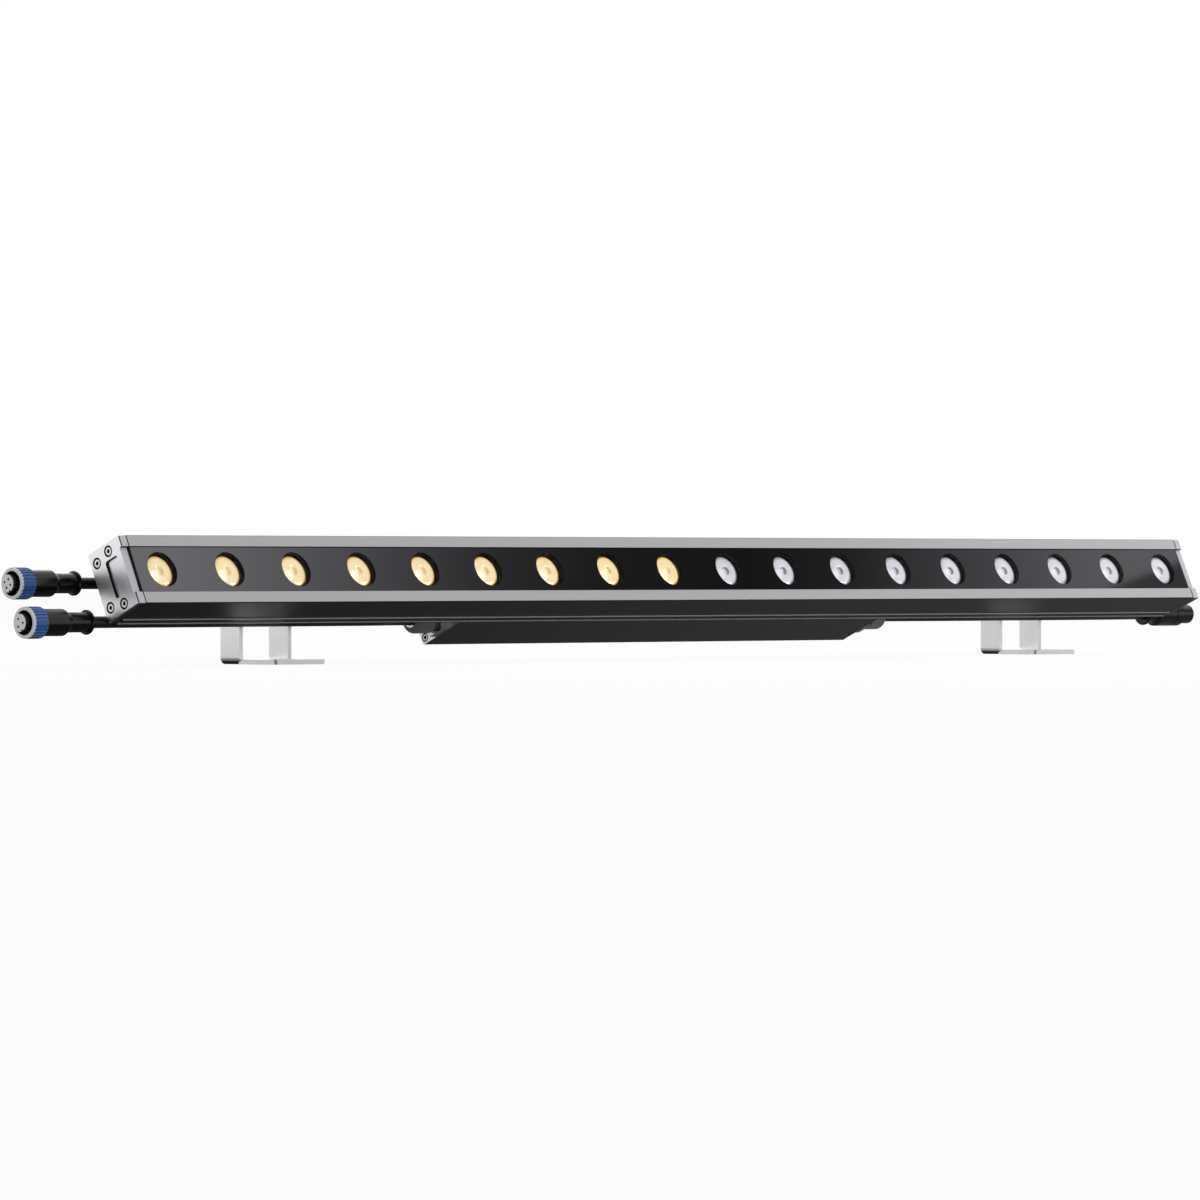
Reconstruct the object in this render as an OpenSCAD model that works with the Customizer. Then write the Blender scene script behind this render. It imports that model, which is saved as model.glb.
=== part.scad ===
// Linear architectural light: a one metre aluminium wall washer on two tilting floor brackets.
// X runs along the light, Y away from the lit side, Z up. The origin is the centre of the
// four floor fixings, on the underside of the brackets.

/* [Light] */
// Length over the end caps
light_len = 1000; // [800:10:1400]
// Number of lamps along the face
led_count = 18; // [12:1:24]
// Height of the front face
face_h = 45; // [43:0.5:56]
// Depth of the housing, front to back
body_d = 30.5; // [30:0.5:36]
// Tilt of the face above level at rest, in degrees
rest_tilt = 24.3; // [5:0.1:60]

/* [Front] */
// Width of the bare metal strip above and below the glass
rim_w = 7.5; // [6.5:0.1:8.5]
// How far the glass lies behind the strips
glass_recess = 0.6; // [0.3:0.1:2]
// Thickness of the front glass
glass_t = 2.5; // [2:0.1:3]
// Radius of a window in the black mask
window_r = 10.9; // [10.6:0.1:11.4]
// Radius of a lens at its front
lens_r = 10.3; // [9.6:0.1:10.5]
// Height of a lens with its foot on the board
lens_h = 10.7; // [10:0.1:11]
// Space between the black mask and the lenses
lens_gap = 1.8; // [0.2:0.1:2]

/* [Ends] */
// Thickness of an end cap
cap_t = 5.5; // [4.5:0.1:8]
// Thickness of the rubber sheet behind an end cap
cap_gasket_t = 0.8; // [0.5:0.1:1.5]
// Depth of the notch in front of an end cap, between the strips
cap_notch = 2.2; // [1:0.1:3]
// Height of the shallow pocket in an end cap
pocket_h = 24.2; // [16:0.2:25]
// Width of the shallow pocket in an end cap
pocket_w = 11.1; // [6:0.1:13]

/* [Driver box] */
// Length over the end plates
driver_len = 397; // [360:1:460]
// Height of the box
driver_h = 40; // [40:0.5:44]
// Depth of the box behind its foot
driver_d = 37; // [35:0.5:42]
// Thickness of an end plate
driver_plate_t = 2.5; // [2:0.1:4]

/* [Brackets] */
// How far a bracket stands inwards of the middle of its free stretch of lead
bracket_shift = 4.84; // [0:0.02:12]
// Width of a bracket over its legs
bracket_w = 44; // [42:0.5:50]
// Thickness of the bracket sheet
sheet_t = 3; // [2.5:0.1:3.4]
// Width of a leg
leg_w = 17; // [15:0.5:18]
// How far the foot reaches in front of the legs
foot_reach = 31.6; // [30:0.2:45]
// Height of the tilt bolt above the floor
pivot_h = 36.8; // [34:0.2:60]

/* [Leads] */
// Diameter of a lead
lead_d = 7.1; // [5:0.1:7.2]
// How far the lower lead's plug reaches past the left end
power_reach = 63; // [56:1:120]
// How far the upper lead's plug reaches past the left end
data_reach = 53; // [53:1:120]
// How far the sockets reach past the right end
socket_reach = 32; // [0:1:80]

/* [Hidden] */

$fn = 48;
// Overrun of every cut
cut = 1;
// Gap round pieces that lie loose in a seat
play = 0.1;
// Radial gap of a running fit
run_fit = 0.05;

// Housing profile
wall = 2;
ledge_w = 2.2;
mask_t = 0.8;
seal_t = 0.5;
board_t = 1.6;
floor_t = 2.3;
edge_chamfer = 0.5;
rib_h = 0.8;
rib_w = 1;
front_rib_v = 23.7;
slot_mouth = 8.4;
slot_lip = 3;
slot_w = 15.4;
slot_d = 4.6;
front_port_v = 12.4;
front_port_inset = 5.3;
rear_port_inset_v = 6;
rear_port_inset_u = 7.9;
port_r = 1.55;
port_wall = 1.45;
body_len = light_len - 2*(cap_t + cap_gasket_t);
glass_back_v = glass_recess + glass_t;
mask_back_v = glass_back_v + mask_t;
ledge_v = mask_back_v + seal_t;
opening_h = face_h - 2*rim_w;
cavity_h = opening_h - 2*ledge_w;
lens_v = mask_back_v + lens_gap;
board_v = lens_v + lens_h;
floor_v = board_v + board_t;
slot_v = body_d - slot_lip - slot_d;
port_uv = [
    for (side = [-1, 1])
    each [
        [front_port_v, side*(face_h/2 - front_port_inset)],
        [body_d - rear_port_inset_v, side*(face_h/2 - rear_port_inset_u)]
    ]
];

// Lamps
pitch = light_len/led_count;
lamp_xs = [for (i = [0 : led_count - 1]) (i + 0.5)*pitch - light_len/2];
warm_count = floor(led_count/2);
// The wires come through half way between two lamps, and every second other gap holds a screw
wire_x = lamp_xs[warm_count - 1] + pitch/2;
board_screw_xs = [
    for (i = [0 : 2 : led_count - 2])
    let (x = lamp_xs[i] + pitch/2)
    if (abs(x - wire_x) > pitch/2) x
];
chip_w = 3.45;
chip_h = 0.8;
chip_dome_r = 1.3;
lens_rim_t = 1.6;
lens_shoulder = 0.7;
lens_foot_r = 4.6;
lens_foot_gap = 0.6;
lens_hollow_r = 2.8;
lens_hollow_h = 3;
holder_r = 11.3;
holder_wall = 1.4;
board_screw_r = 1.45;
board_screw_head_r = 2.8;
board_screw_head_h = 2;
board_screw_len = 6;
board_end_gap = 4;
wire_r = 0.7;
wire_step = 1;
wire_len = 26;
grommet_r = 4;
grommet_bore_r = 2.6;
grommet_lip = 1;

// End caps
cap_corner_r = 0.9;
cap_edge = 0.5;
pocket_v = 6.4;
pocket_deep = 1.5;
pocket_corner_r = 1.5;
cap_screw_r = 1.5;
cap_head_r = 2.75;
cap_head_h = 3;
cap_sink_r = 3.35;
cap_sink_h = 3.2;
cap_screw_len = 14;
socket_af = 2.5;
socket_deep = 1.6;
gasket_inset = 0.5;

// Driver box
driver_centre_u = -1.5;
foot_v = body_d + play;
foot_d = 2.4;
foot_inset = 0.8;
case_v = foot_v + foot_d;
case_wall = 2;
case_chamfer = 1;
driver_gasket_t = 0.5;
case_len = driver_len - 2*(driver_plate_t + driver_gasket_t);
driver_lo_u = driver_centre_u - driver_h/2;
driver_hi_u = driver_centre_u + driver_h/2;
driver_back_v = case_v + driver_d;
driver_screw_inset = 3.7;
driver_port_r = 1.3;
driver_boss_r = 3;
driver_screw_r = 1.25;
driver_head_r = 2.2;
driver_head_h = 1.8;
driver_sink_r = 2.7;
driver_sink_h = 1.9;
driver_screw_len = 10;
driver_socket_af = 2;
driver_screw_vu = [
    for (v = [case_v + driver_screw_inset, driver_back_v - driver_screw_inset])
    for (u = [driver_lo_u + driver_screw_inset, driver_hi_u - driver_screw_inset]) [v, u]
];
pcb_t = 1.6;
pcb_w = 24;
pcb_off = 4;
pcb_len = 330;
core_size = [34, 20, 17];
core_x = -60;
winding_r = 7;
winding_over = 3;
can_xs = [40, 62, 84];
can_r = 8;
can_h = 20;
tee_xs = [-150, -60, 60, 150];
tee_w = 8;
tee_head_h = 3.4;
tee_head_gap = 0.5;
tee_bolt_r = 2.5;
tee_bolt_len = 15;
tee_nut_af = 8;
tee_nut_h = 4;

// Cable glands
gland_v = 52.5;
gland_step = 20;
gland_af = 19;
gland_flange_t = 5;
gland_thread_r = 6;
gland_thread_in = 9;
gland_lock_af = 15;
gland_lock_t = 4;
gland_neck_r = 7.3;
gland_neck = 3.5;
gland_bore_r = 5.6;
gland_cap_r = 8.8;
gland_cap_l = 15;
gland_cap_nose_r = 5;
gland_cap_wall = 1.4;
gland_grip = 6;
gland_us = [driver_centre_u - gland_step/2, driver_centre_u + gland_step/2];
gland_out = gland_flange_t + gland_neck + gland_cap_l;
gland_x = driver_len/2;

// Leads
bend_r = 45;
bend_lap = 0.5;
bend_skin = 0.02;
lead_r = lead_d/2;
power_v = body_d + lead_r + play;
power_u = -19.7;
data_v = 45;
data_u = 10.8;
lead_straight = 5;
clip_inset = 60;
bend_x = gland_x + gland_out + lead_straight;
power_line = [power_v, power_u];
data_line = [data_v, data_u];
lead_settled_x = bend_x + 2*bend_run(power_line - [gland_v, gland_us[0]]);
clip_x = light_len/2 - clip_inset;
bracket_x = (lead_settled_x + clip_x)/2 - bracket_shift;

// Plugs on the left
nut_r = 9.65;
nut_l = 12.3;
nut_bore_r = 7.35;
nut_shoulder = 3.3;
nut_flutes = 26;
flute_land_shares = [0.1, 0.4];
flute_root_shares = [0.55, 0.95];
flute_deep = 0.55;
nut_ring = 0.9;
nut_edge = 1.1;
spigot_r = 6.2;
spigot_l = 6.6;
spigot_lip_r = 6.9;
spigot_lip_t = 1.2;
plug_r = 8.15;
plug_l = 18.4;
plug_round = 3;
neck_r = 6.05;
neck_l = 17.4;
neck_root_r = 7;
neck_root_l = 3;
collar_r = 7.5;
collar_t = 2.6;
collar_edge = 0.9;
plug_total = nut_l + play + plug_l + neck_l + collar_t;
insert_r = 5.35;
insert_out = 3.4;
pin_ring_r = 2.7;
pin_r = 0.6;
pin_hole_r = 0.75;
pin_hole_deep = 6;
key_w = 1.4;
key_deep = 0.9;
key_angle = 269;
power_pins = 3;
power_pin_start = 84;
data_pins = 4;
data_pin_start = 41;

// Sockets on the right
socket_l = 26;
socket_neck = 9;
socket_ring_l = 7;
socket_groove = 0.7;
socket_spigot_r = 6.55;
socket_spigot_l = 12;
socket_bore_r = 5.6;
socket_bore_deep = 11;
socket_pin_l = 6;
pin_base_t = 1;
socket_total = socket_spigot_l + socket_l + socket_neck + collar_t;
socket_line = [body_d + plug_r + play, -17.6];
socket_bend_gap = 3;

// Lead clips
clip_w = 8;
clip_wall = 1.6;
clip_plate_t = 2;
clip_barb = 1.2;
clip_gap_share = 0.8;

// Knuckles and channel nuts
pivot_v = 46.4;
pivot_u = -3;
slide_gap = 0.15;
washer_t = 1;
washer_r = 7;
ear_t = 4;
ear_r = 7.8;
flange_t = 3.6;
flange_h = 27;
flange_u = -1.5;
flange_gap = 0.15;
knuckle_w = bracket_w - 2*(sheet_t + washer_t + play);
channel_nut_l = 30;
channel_nut_t = 3.6;
channel_nut_tongue = 2.4;
knuckle_screw_x = 7;
knuckle_screw_r = 2.5;
knuckle_head_r = 3.5;
knuckle_head_h = 3;
knuckle_screw_len = 10;
knuckle_socket_af = 3;
knuckle_socket_deep = 1.8;

// Brackets
bend_in_r = 1;
tab_inset = 0.8;
leg_round = 8.5;
relief_w = 1.5;
foot_corner = 1.2;
fix_r = 2.75;
fix_front = 7.5;
fix_step = 18;
pivot_bolt_r = 3;
bolt_af = 10;
bolt_head_h = 4;
bolt_tail = 1.5;
bolt_nut_h = 5;
bolt_hole_gap = 0.15;

// Where the fixings put the origin
foot_front_y = -fix_front - fix_step/2;
leg_front_y = foot_front_y + foot_reach;
leg_mid_y = leg_front_y + leg_w/2;

// Places the head: the tilt bolt is the point that housing and brackets share
module head() {
    translate([0, leg_mid_y, pivot_h])
        rotate([-rest_tilt, 0, 0])
            translate([0, -pivot_v, -pivot_u]) children();
}

// Extrudes a profile drawn as depth and height along X
module along_x(x, len) {
    translate([x, 0, 0]) rotate([90, 0, 90]) linear_extrude(len) children();
}

// Round bar along X
module bar_x(x, len, r, v, u) {
    translate([x, v, u]) rotate([0, 90, 0]) cylinder(h = len, r = r);
}

// Hexagonal bar along X, its flats above and below
module prism_x(x, len, af, v, u) {
    translate([x, v, u]) rotate([0, 90, 0]) rotate([0, 0, 90])
        cylinder(h = len, r = af/2/cos(30), $fn = 6);
}

// Round bar in depth, from v towards the back
module bar_v(x, v, u, len, r) {
    translate([x, v, u]) rotate([-90, 0, 0]) cylinder(h = len, r = r);
}

// Block given by its middle in x and u and its start in v
module block(x, v, u, size) {
    translate([x - size[0]/2, v, u - size[2]/2]) cube(size);
}

// Turned shape along X: the profile is drawn as radius and distance from the start
module turned_x(x, v, u) {
    translate([x, v, u]) rotate([0, 90, 0]) rotate_extrude() children();
}

// Makes the right-hand twin too
module both_ends() {
    children();
    mirror([1, 0, 0]) children();
}

// Outline of the housing with small chamfers, without its ribs
module body_outline(inset = 0) {
    h = face_h/2 - inset;
    c = edge_chamfer;
    f = inset;
    b = body_d - inset;
    polygon([
        [f + c, -h], [b - c, -h], [b, c - h], [b, h - c],
        [b - c, h], [f + c, h], [f, h - c], [f, c - h]
    ]);
}

module rect_vu(v0, v1, u0, u1) {
    translate([v0, u0]) square([v1 - v0, u1 - u0]);
}

// Hollow on one side of the housing, from the front wall round to the tee slot
module side_hollow() {
    in_u = cavity_h/2 + wall;
    out_u = face_h/2 - wall;
    slot_u = slot_w/2 + wall;
    front = ledge_v + wall;
    back = body_d - wall;
    turn = floor_v + floor_t;
    polygon([
        [front, in_u], [turn, in_u], [turn, slot_u], [back, slot_u], [back, out_u], [front, out_u]
    ]);
}

// Profile of the housing extrusion
module housing_profile() {
    difference() {
        union() {
            difference() {
                body_outline();
                side_hollow();
                mirror([0, 1]) side_hollow();
            }
            intersection() {
                body_outline();
                for (p = port_uv) {
                    translate(p) circle(r = port_r + port_wall);
                    if (p[0] > floor_v) rect_vu(p[0], body_d, p[1] - port_wall, p[1] + port_wall);
                }
            }
            for (side = [-1, 1]) {
                for (v = [front_rib_v, body_d - rib_w])
                    rect_vu(v, v + rib_w, side*face_h/2 - rib_h, side*face_h/2 + rib_h);
            }
        }
        rect_vu(-cut, ledge_v, -opening_h/2, opening_h/2);
        rect_vu(0, floor_v, -cavity_h/2, cavity_h/2);
        rect_vu(slot_v, slot_v + slot_d, -slot_w/2, slot_w/2);
        rect_vu(slot_v, body_d + cut, -slot_mouth/2, slot_mouth/2);
        for (p = port_uv) translate(p) circle(r = port_r);
    }
}

module housing() {
    color([0.32, 0.32, 0.33]) head() difference() {
        along_x(-body_len/2, body_len) housing_profile();
        for (x = board_screw_xs) bar_v(x, floor_v - cut, 0, slot_d + cut, board_screw_r + run_fit);
        bar_v(wire_x, floor_v - cut, 0, body_d, grommet_bore_r + wall/2);
    }
}

module front_glass() {
    color([0.8, 0.85, 0.85, 0.4]) head()
        along_x(-body_len/2, body_len)
            rect_vu(glass_recess, glass_back_v, play - opening_h/2, opening_h/2 - play);
}

module window_mask() {
    color([0.05, 0.05, 0.05]) head() difference() {
        along_x(-body_len/2, body_len)
            rect_vu(glass_back_v, mask_back_v, play - opening_h/2, opening_h/2 - play);
        for (x = lamp_xs) bar_v(x, glass_back_v - cut, 0, mask_t + 2*cut, window_r);
    }
}

module glass_gasket() {
    color("dimgray") head() difference() {
        block(0, mask_back_v, 0, [body_len, seal_t, opening_h - 2*play]);
        block(0, mask_back_v - cut, 0, [body_len - 2*ledge_w, seal_t + 2*cut, cavity_h]);
    }
}

module led_board() {
    color("white") head() difference() {
        block(0, board_v, 0, [body_len - 2*board_end_gap, board_t, cavity_h - 2*play]);
        for (x = board_screw_xs) bar_v(x, board_v - cut, 0, board_t + 2*cut, board_screw_r + run_fit);
        bar_v(wire_x, board_v - cut, 0, board_t + 2*cut, grommet_bore_r);
    }
}

// One lamp chip with its clear dome
module chip(x) {
    block(x, board_v - chip_h, 0, [chip_w, chip_h, chip_w]);
    intersection() {
        translate([x, board_v - chip_h, 0]) sphere(r = chip_dome_r);
        block(x, board_v - chip_h - chip_dome_r, 0, [chip_w, chip_dome_r + chip_h/2, chip_w]);
    }
}

module warm_leds() {
    color("gold") head() for (i = [0 : warm_count - 1]) chip(lamp_xs[i]);
}

module cool_leds() {
    color("lightyellow") head() for (i = [warm_count : led_count - 1]) chip(lamp_xs[i]);
}

// Black cup that stands on the board and carries the lens by its rim
module lens_holder(x) {
    translate([x, lens_v, 0]) rotate([-90, 0, 0]) rotate_extrude()
        translate([holder_r - holder_wall, lens_rim_t]) square([holder_wall, lens_h - lens_rim_t]);
}

module lens_holders() {
    color([0.1, 0.1, 0.1]) head() for (x = lamp_xs) lens_holder(x);
}

// Collimating lens: flat rim in front, cone behind, hollow over the chip
module lens(x) {
    foot = lens_h - lens_foot_gap;
    translate([x, lens_v, 0]) rotate([-90, 0, 0]) rotate_extrude()
        polygon([
            [0, 0], [lens_r, 0], [lens_r, lens_rim_t], [holder_r - holder_wall - play, lens_rim_t],
            [holder_r - holder_wall - lens_shoulder, lens_rim_t + lens_shoulder], [lens_foot_r, foot],
            [lens_hollow_r, foot], [lens_hollow_r, foot - lens_hollow_h], [0, foot - lens_hollow_h]
        ]);
}

module warm_lenses() {
    color("khaki") head() for (i = [0 : warm_count - 1]) lens(lamp_xs[i]);
}

module cool_lenses() {
    color("ghostwhite") head() for (i = [warm_count : led_count - 1]) lens(lamp_xs[i]);
}

module board_screws() {
    color("silver") head() for (x = board_screw_xs) {
        bar_v(x, board_v - board_screw_head_h, 0, board_screw_head_h, board_screw_head_r);
        bar_v(x, board_v, 0, board_screw_len, board_screw_r);
    }
}

// Four wires from the driver through the back of the housing to the board
module board_wires() {
    color("firebrick") head()
        for (dx = [-wire_step, wire_step], du = [-wire_step, wire_step])
            bar_v(wire_x + dx, board_v - wire_r, du, wire_len, wire_r);
}

// Rubber bush in the front wall of the driver box
module wire_grommet() {
    color([0.1, 0.1, 0.1]) head() difference() {
        union() {
            bar_v(wire_x, foot_v, 0, foot_d + case_wall/4, grommet_r);
            bar_v(wire_x, foot_v + foot_d + case_wall/4, 0, grommet_lip, grommet_r + grommet_lip);
        }
        bar_v(wire_x, foot_v - cut, 0, body_d, grommet_bore_r);
    }
}

// Outline that caps and their rubber sheets share: the housing with a notch cut in between the strips
module cap_shape(x, len, inset, edge = 0) {
    h = face_h/2 - inset - cap_corner_r;
    difference() {
        hull() {
            for (u = [-h, h], v = [inset + cap_corner_r, body_d - inset - cap_corner_r]) {
                bar_x(x, len - edge, cap_corner_r, v, u, $fn = 32);
                if (edge > 0) bar_x(x, len, cap_corner_r - edge, v, u, $fn = 32);
            }
        }
        block(x, -cut, 0, [2*len + 2*cut, cap_notch + cut, opening_h]);
    }
}

// Right-hand cap with its inner face at x; the left one is its mirror image
module end_cap(x) {
    difference() {
        cap_shape(x, cap_t, 0, cap_edge);
        translate([x + cap_t - pocket_deep, pocket_v, -pocket_h/2])
            rotate([90, 0, 90]) linear_extrude(pocket_deep + cut)
                pocket_outline();
        for (p = port_uv) {
            bar_x(x - cut, cap_t + 2*cut, cap_screw_r + 2*play, p[0], p[1]);
            bar_x(x + cap_t - cap_sink_h, cap_sink_h + cut, cap_sink_r, p[0], p[1]);
        }
    }
}

// Rectangle with rounded corners, its lower front corner at the start
module pocket_outline() {
    r = pocket_corner_r;
    for (v = [r, pocket_w - r], u = [r, pocket_h - r]) translate([v, u]) circle(r = r);
    translate([r, 0]) square([pocket_w - 2*r, pocket_h]);
    translate([0, r]) square([pocket_w, pocket_h - 2*r]);
}

module end_cap_left() {
    color("gainsboro") head() mirror([1, 0, 0]) end_cap(light_len/2 - cap_t);
}

module end_cap_right() {
    color("gainsboro") head() end_cap(light_len/2 - cap_t);
}

module end_cap_gaskets() {
    color([0.15, 0.15, 0.15]) head() both_ends() difference() {
        cap_shape(body_len/2, cap_gasket_t, gasket_inset);
        for (p = port_uv) bar_x(body_len/2 - cut, 2*cut + cap_gasket_t, cap_screw_r + play, p[0], p[1]);
    }
}

// Socket-head screw along X; the head's outer face is at x and the point lies inwards
module socket_screw(x, v, u, head_r, head_h, shank_r, len, af, deep) {
    difference() {
        union() {
            bar_x(x - head_h, head_h, head_r, v, u);
            bar_x(x - head_h - len, len, shank_r, v, u);
        }
        prism_x(x - deep, deep + cut, af, v, u);
    }
}

module end_cap_screws() {
    seat = light_len/2 - cap_sink_h;
    color("lightgray") head() both_ends() for (p = port_uv)
        socket_screw(seat + cap_head_h, p[0], p[1], cap_head_r, cap_head_h, cap_screw_r,
            cap_screw_len, socket_af, socket_deep);
}

// Outline of the driver box: a narrower foot against the housing, then the box itself
module case_outline() {
    c = case_chamfer;
    b = driver_back_v;
    lo = driver_lo_u;
    hi = driver_hi_u;
    i = foot_inset;
    polygon([
        [foot_v, lo + i], [case_v, lo + i], [case_v, lo], [b - c, lo], [b, lo + c],
        [b, hi - c], [b - c, hi], [case_v, hi], [case_v, hi - i], [foot_v, hi - i]
    ]);
}

module driver_case() {
    w = case_wall;
    color([0.45, 0.45, 0.47]) head() difference() {
        along_x(-case_len/2, case_len) difference() {
            case_outline();
            difference() {
                rect_vu(case_v + w/4, driver_back_v - w, driver_lo_u + w, driver_hi_u - w);
                for (p = driver_screw_vu) translate(p) circle(r = driver_boss_r);
            }
            for (p = driver_screw_vu) translate(p) circle(r = driver_port_r);
        }
        for (x = tee_xs) bar_v(x, foot_v - cut, 0, foot_d + 2*w, tee_bolt_r + play);
        bar_v(wire_x, foot_v - cut, 0, foot_d + 2*w, grommet_r);
    }
}

// End plate on the right; glands pass through it
module driver_end_plate() {
    x = driver_len/2 - driver_plate_t;
    difference() {
        along_x(x, driver_plate_t) case_outline();
        for (p = driver_screw_vu) {
            bar_x(x - cut, driver_plate_t + 2*cut, driver_screw_r + play, p[0], p[1]);
            bar_x(x + driver_plate_t - driver_sink_h, driver_sink_h + cut, driver_sink_r, p[0], p[1]);
        }
        for (u = gland_us) bar_x(x - cut, driver_plate_t + 2*cut, gland_thread_r + run_fit, gland_v, u);
    }
}

module driver_end_plate_left() {
    color("gainsboro") head() mirror([1, 0, 0]) driver_end_plate();
}

module driver_end_plate_right() {
    color("gainsboro") head() driver_end_plate();
}

module driver_gaskets() {
    color([0.15, 0.15, 0.15]) head() both_ends() difference() {
        along_x(case_len/2, driver_gasket_t) case_outline();
        along_x(case_len/2 - cut, driver_gasket_t + 2*cut) difference() {
            rect_vu(case_v + case_wall, driver_back_v - case_wall,
                driver_lo_u + case_wall, driver_hi_u - case_wall);
            for (p = driver_screw_vu) translate(p) circle(r = driver_boss_r);
        }
        for (p = driver_screw_vu)
            bar_x(case_len/2 - cut, driver_gasket_t + 2*cut, driver_screw_r + play, p[0], p[1]);
    }
}

module driver_end_screws() {
    seat = driver_len/2 - driver_sink_h;
    color("lightgray") head() both_ends() for (p = driver_screw_vu)
        socket_screw(seat + driver_head_h, p[0], p[1], driver_head_r, driver_head_h,
            driver_screw_r, driver_screw_len, driver_socket_af, driver_head_h/2);
}

// Power board on the back wall of the driver box
pcb_v = driver_back_v - case_wall - pcb_off;
module driver_board() {
    color("darkgreen") head() {
        block(0, pcb_v, driver_centre_u, [pcb_len, pcb_t, pcb_w]);
        for (x = [-pcb_len/2 + pcb_off, pcb_len/2 - pcb_off])
            bar_v(x, pcb_v + pcb_t, driver_centre_u, pcb_off - pcb_t, pcb_off/2);
    }
}

module driver_transformer() {
    size = core_size;
    color("goldenrod") head() {
        block(core_x, pcb_v - size[1], driver_centre_u, size);
        for (side = [-1, 1])
            bar_x(core_x + side*(size[0] + winding_over)/2 - winding_over/2, winding_over,
                winding_r, pcb_v - size[1]/2, driver_centre_u);
    }
}

module driver_capacitors() {
    color("midnightblue") head() for (x = can_xs)
        bar_v(x, pcb_v - can_h, driver_centre_u, can_h, can_r);
}

// Hammer-head bolts that hold the driver box to the tee slot
module driver_tee_bolts() {
    v = slot_v + slot_d - tee_head_h;
    color("silver") head() for (x = tee_xs) {
        block(x, v, 0, [tee_w, tee_head_h, slot_w - 2*tee_head_gap]);
        bar_v(x, v + tee_head_h, 0, tee_bolt_len, tee_bolt_r);
    }
}

module driver_tee_nuts() {
    color("silver") head() for (x = tee_xs) difference() {
        translate([x, case_v + case_wall/4, 0]) rotate([-90, 0, 0])
            cylinder(h = tee_nut_h, r = tee_nut_af/2/cos(30), $fn = 6);
        bar_v(x, case_v - cut, 0, tee_nut_h + case_wall + cut, tee_bolt_r + run_fit);
    }
}

// Threaded gland body on the right: lock nut inside, hexagon and neck outside
module gland_body(u) {
    x = gland_x;
    inner = driver_plate_t + driver_gasket_t;
    difference() {
        union() {
            prism_x(x, gland_flange_t, gland_af, gland_v, u);
            bar_x(x + gland_flange_t, gland_neck + gland_grip, gland_neck_r, gland_v, u);
            bar_x(x - gland_thread_in, gland_thread_in, gland_thread_r, gland_v, u);
            prism_x(x - inner - gland_lock_t, gland_lock_t, gland_lock_af, gland_v, u);
        }
        bar_x(x - gland_thread_in - cut, gland_out + gland_thread_in, lead_r + play, gland_v, u);
        bar_x(x + gland_flange_t, gland_out, gland_bore_r, gland_v, u);
    }
}

// Domed cap nut that squeezes the seal round the lead
module gland_nut(u) {
    r = gland_cap_r;
    len = gland_cap_l;
    nose = r - gland_cap_nose_r;
    hole = lead_r + 2*play;
    turned_x(gland_x + gland_flange_t + gland_neck, gland_v, u) difference() {
        union() {
            square([r, len - nose]);
            translate([r - nose, len - nose]) circle(r = nose);
            translate([0, len - nose]) square([r - nose, nose]);
        }
        translate([-cut, -cut]) square([hole + cut, len + 2*cut]);
        translate([0, -cut]) square([gland_neck_r + run_fit, gland_grip + cut]);
        translate([0, gland_grip]) square([gland_bore_r, len - gland_grip - gland_cap_wall]);
        translate([-2*r, -cut]) square([2*r, len + 2*cut]);
    }
}

// Rubber ring inside the gland
module gland_seal(u) {
    turned_x(gland_x + gland_flange_t + play, gland_v, u)
        translate([lead_r, 0])
            square([gland_bore_r - play - lead_r, gland_neck + gland_cap_l - gland_cap_wall - 2*play]);
}

module gland_bodies() {
    color("silver") head() both_ends() for (u = gland_us) gland_body(u);
}

module gland_nuts() {
    color("silver") head() both_ends() for (u = gland_us) gland_nut(u);
}

module gland_seals() {
    color([0.15, 0.15, 0.15]) head() both_ends() for (u = gland_us) gland_seal(u);
}

// Half the length of a bend that shifts a lead sideways by d
function bend_run(d) = bend_r*sin(acos(1 - norm(d)/2/bend_r));

// Double bend from one place across the section to another; a place is depth and height
module lead_bend(x, from, to) {
    d = to - from;
    shift = norm(d);
    angle = acos(1 - shift/2/bend_r);
    run = bend_run(d);
    // The bends lie in the plane through X and the shift; Y of that plane points along the shift
    translate([x, from[0], from[1]]) rotate([atan2(d[1], d[0]), 0, 0]) {
        translate([0, bend_r, 0]) rotate([0, 0, -90])
            rotate_extrude(angle = angle) translate([bend_r, 0]) circle(r = lead_r - bend_skin);
        translate([run, shift/2, 0]) rotate([0, 0, angle])
            bar_x(-bend_lap, 2*bend_lap, lead_r, 0, 0);
        translate([2*run, shift - bend_r, 0]) rotate([0, 0, 90])
            rotate_extrude(angle = angle) translate([bend_r, 0]) circle(r = lead_r - bend_skin);
    }
}

// Straight run whose ends lap into the bends
module lead_run(x0, x1, place) {
    bar_x(x0 - bend_lap, x1 - x0 + 2*bend_lap, lead_r, place[0], place[1]);
}

// Lead on the right: out of the gland, over to its place behind the housing, along to its end
module lead(u0, place, end_x) {
    from = [gland_v, u0];
    lead_run(gland_x - gland_thread_in, bend_x, from);
    lead_bend(bend_x, from, place);
    lead_run(bend_x + 2*bend_run(place - from), end_x, place);
}

module power_in_lead() {
    end = light_len/2 + power_reach - plug_total - bend_lap;
    color([0.06, 0.06, 0.06]) head() mirror([1, 0, 0]) lead(gland_us[0], power_line, end);
}

module data_in_lead() {
    end = light_len/2 + data_reach - plug_total - bend_lap;
    color([0.06, 0.06, 0.06]) head() mirror([1, 0, 0]) lead(gland_us[1], data_line, end);
}

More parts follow.
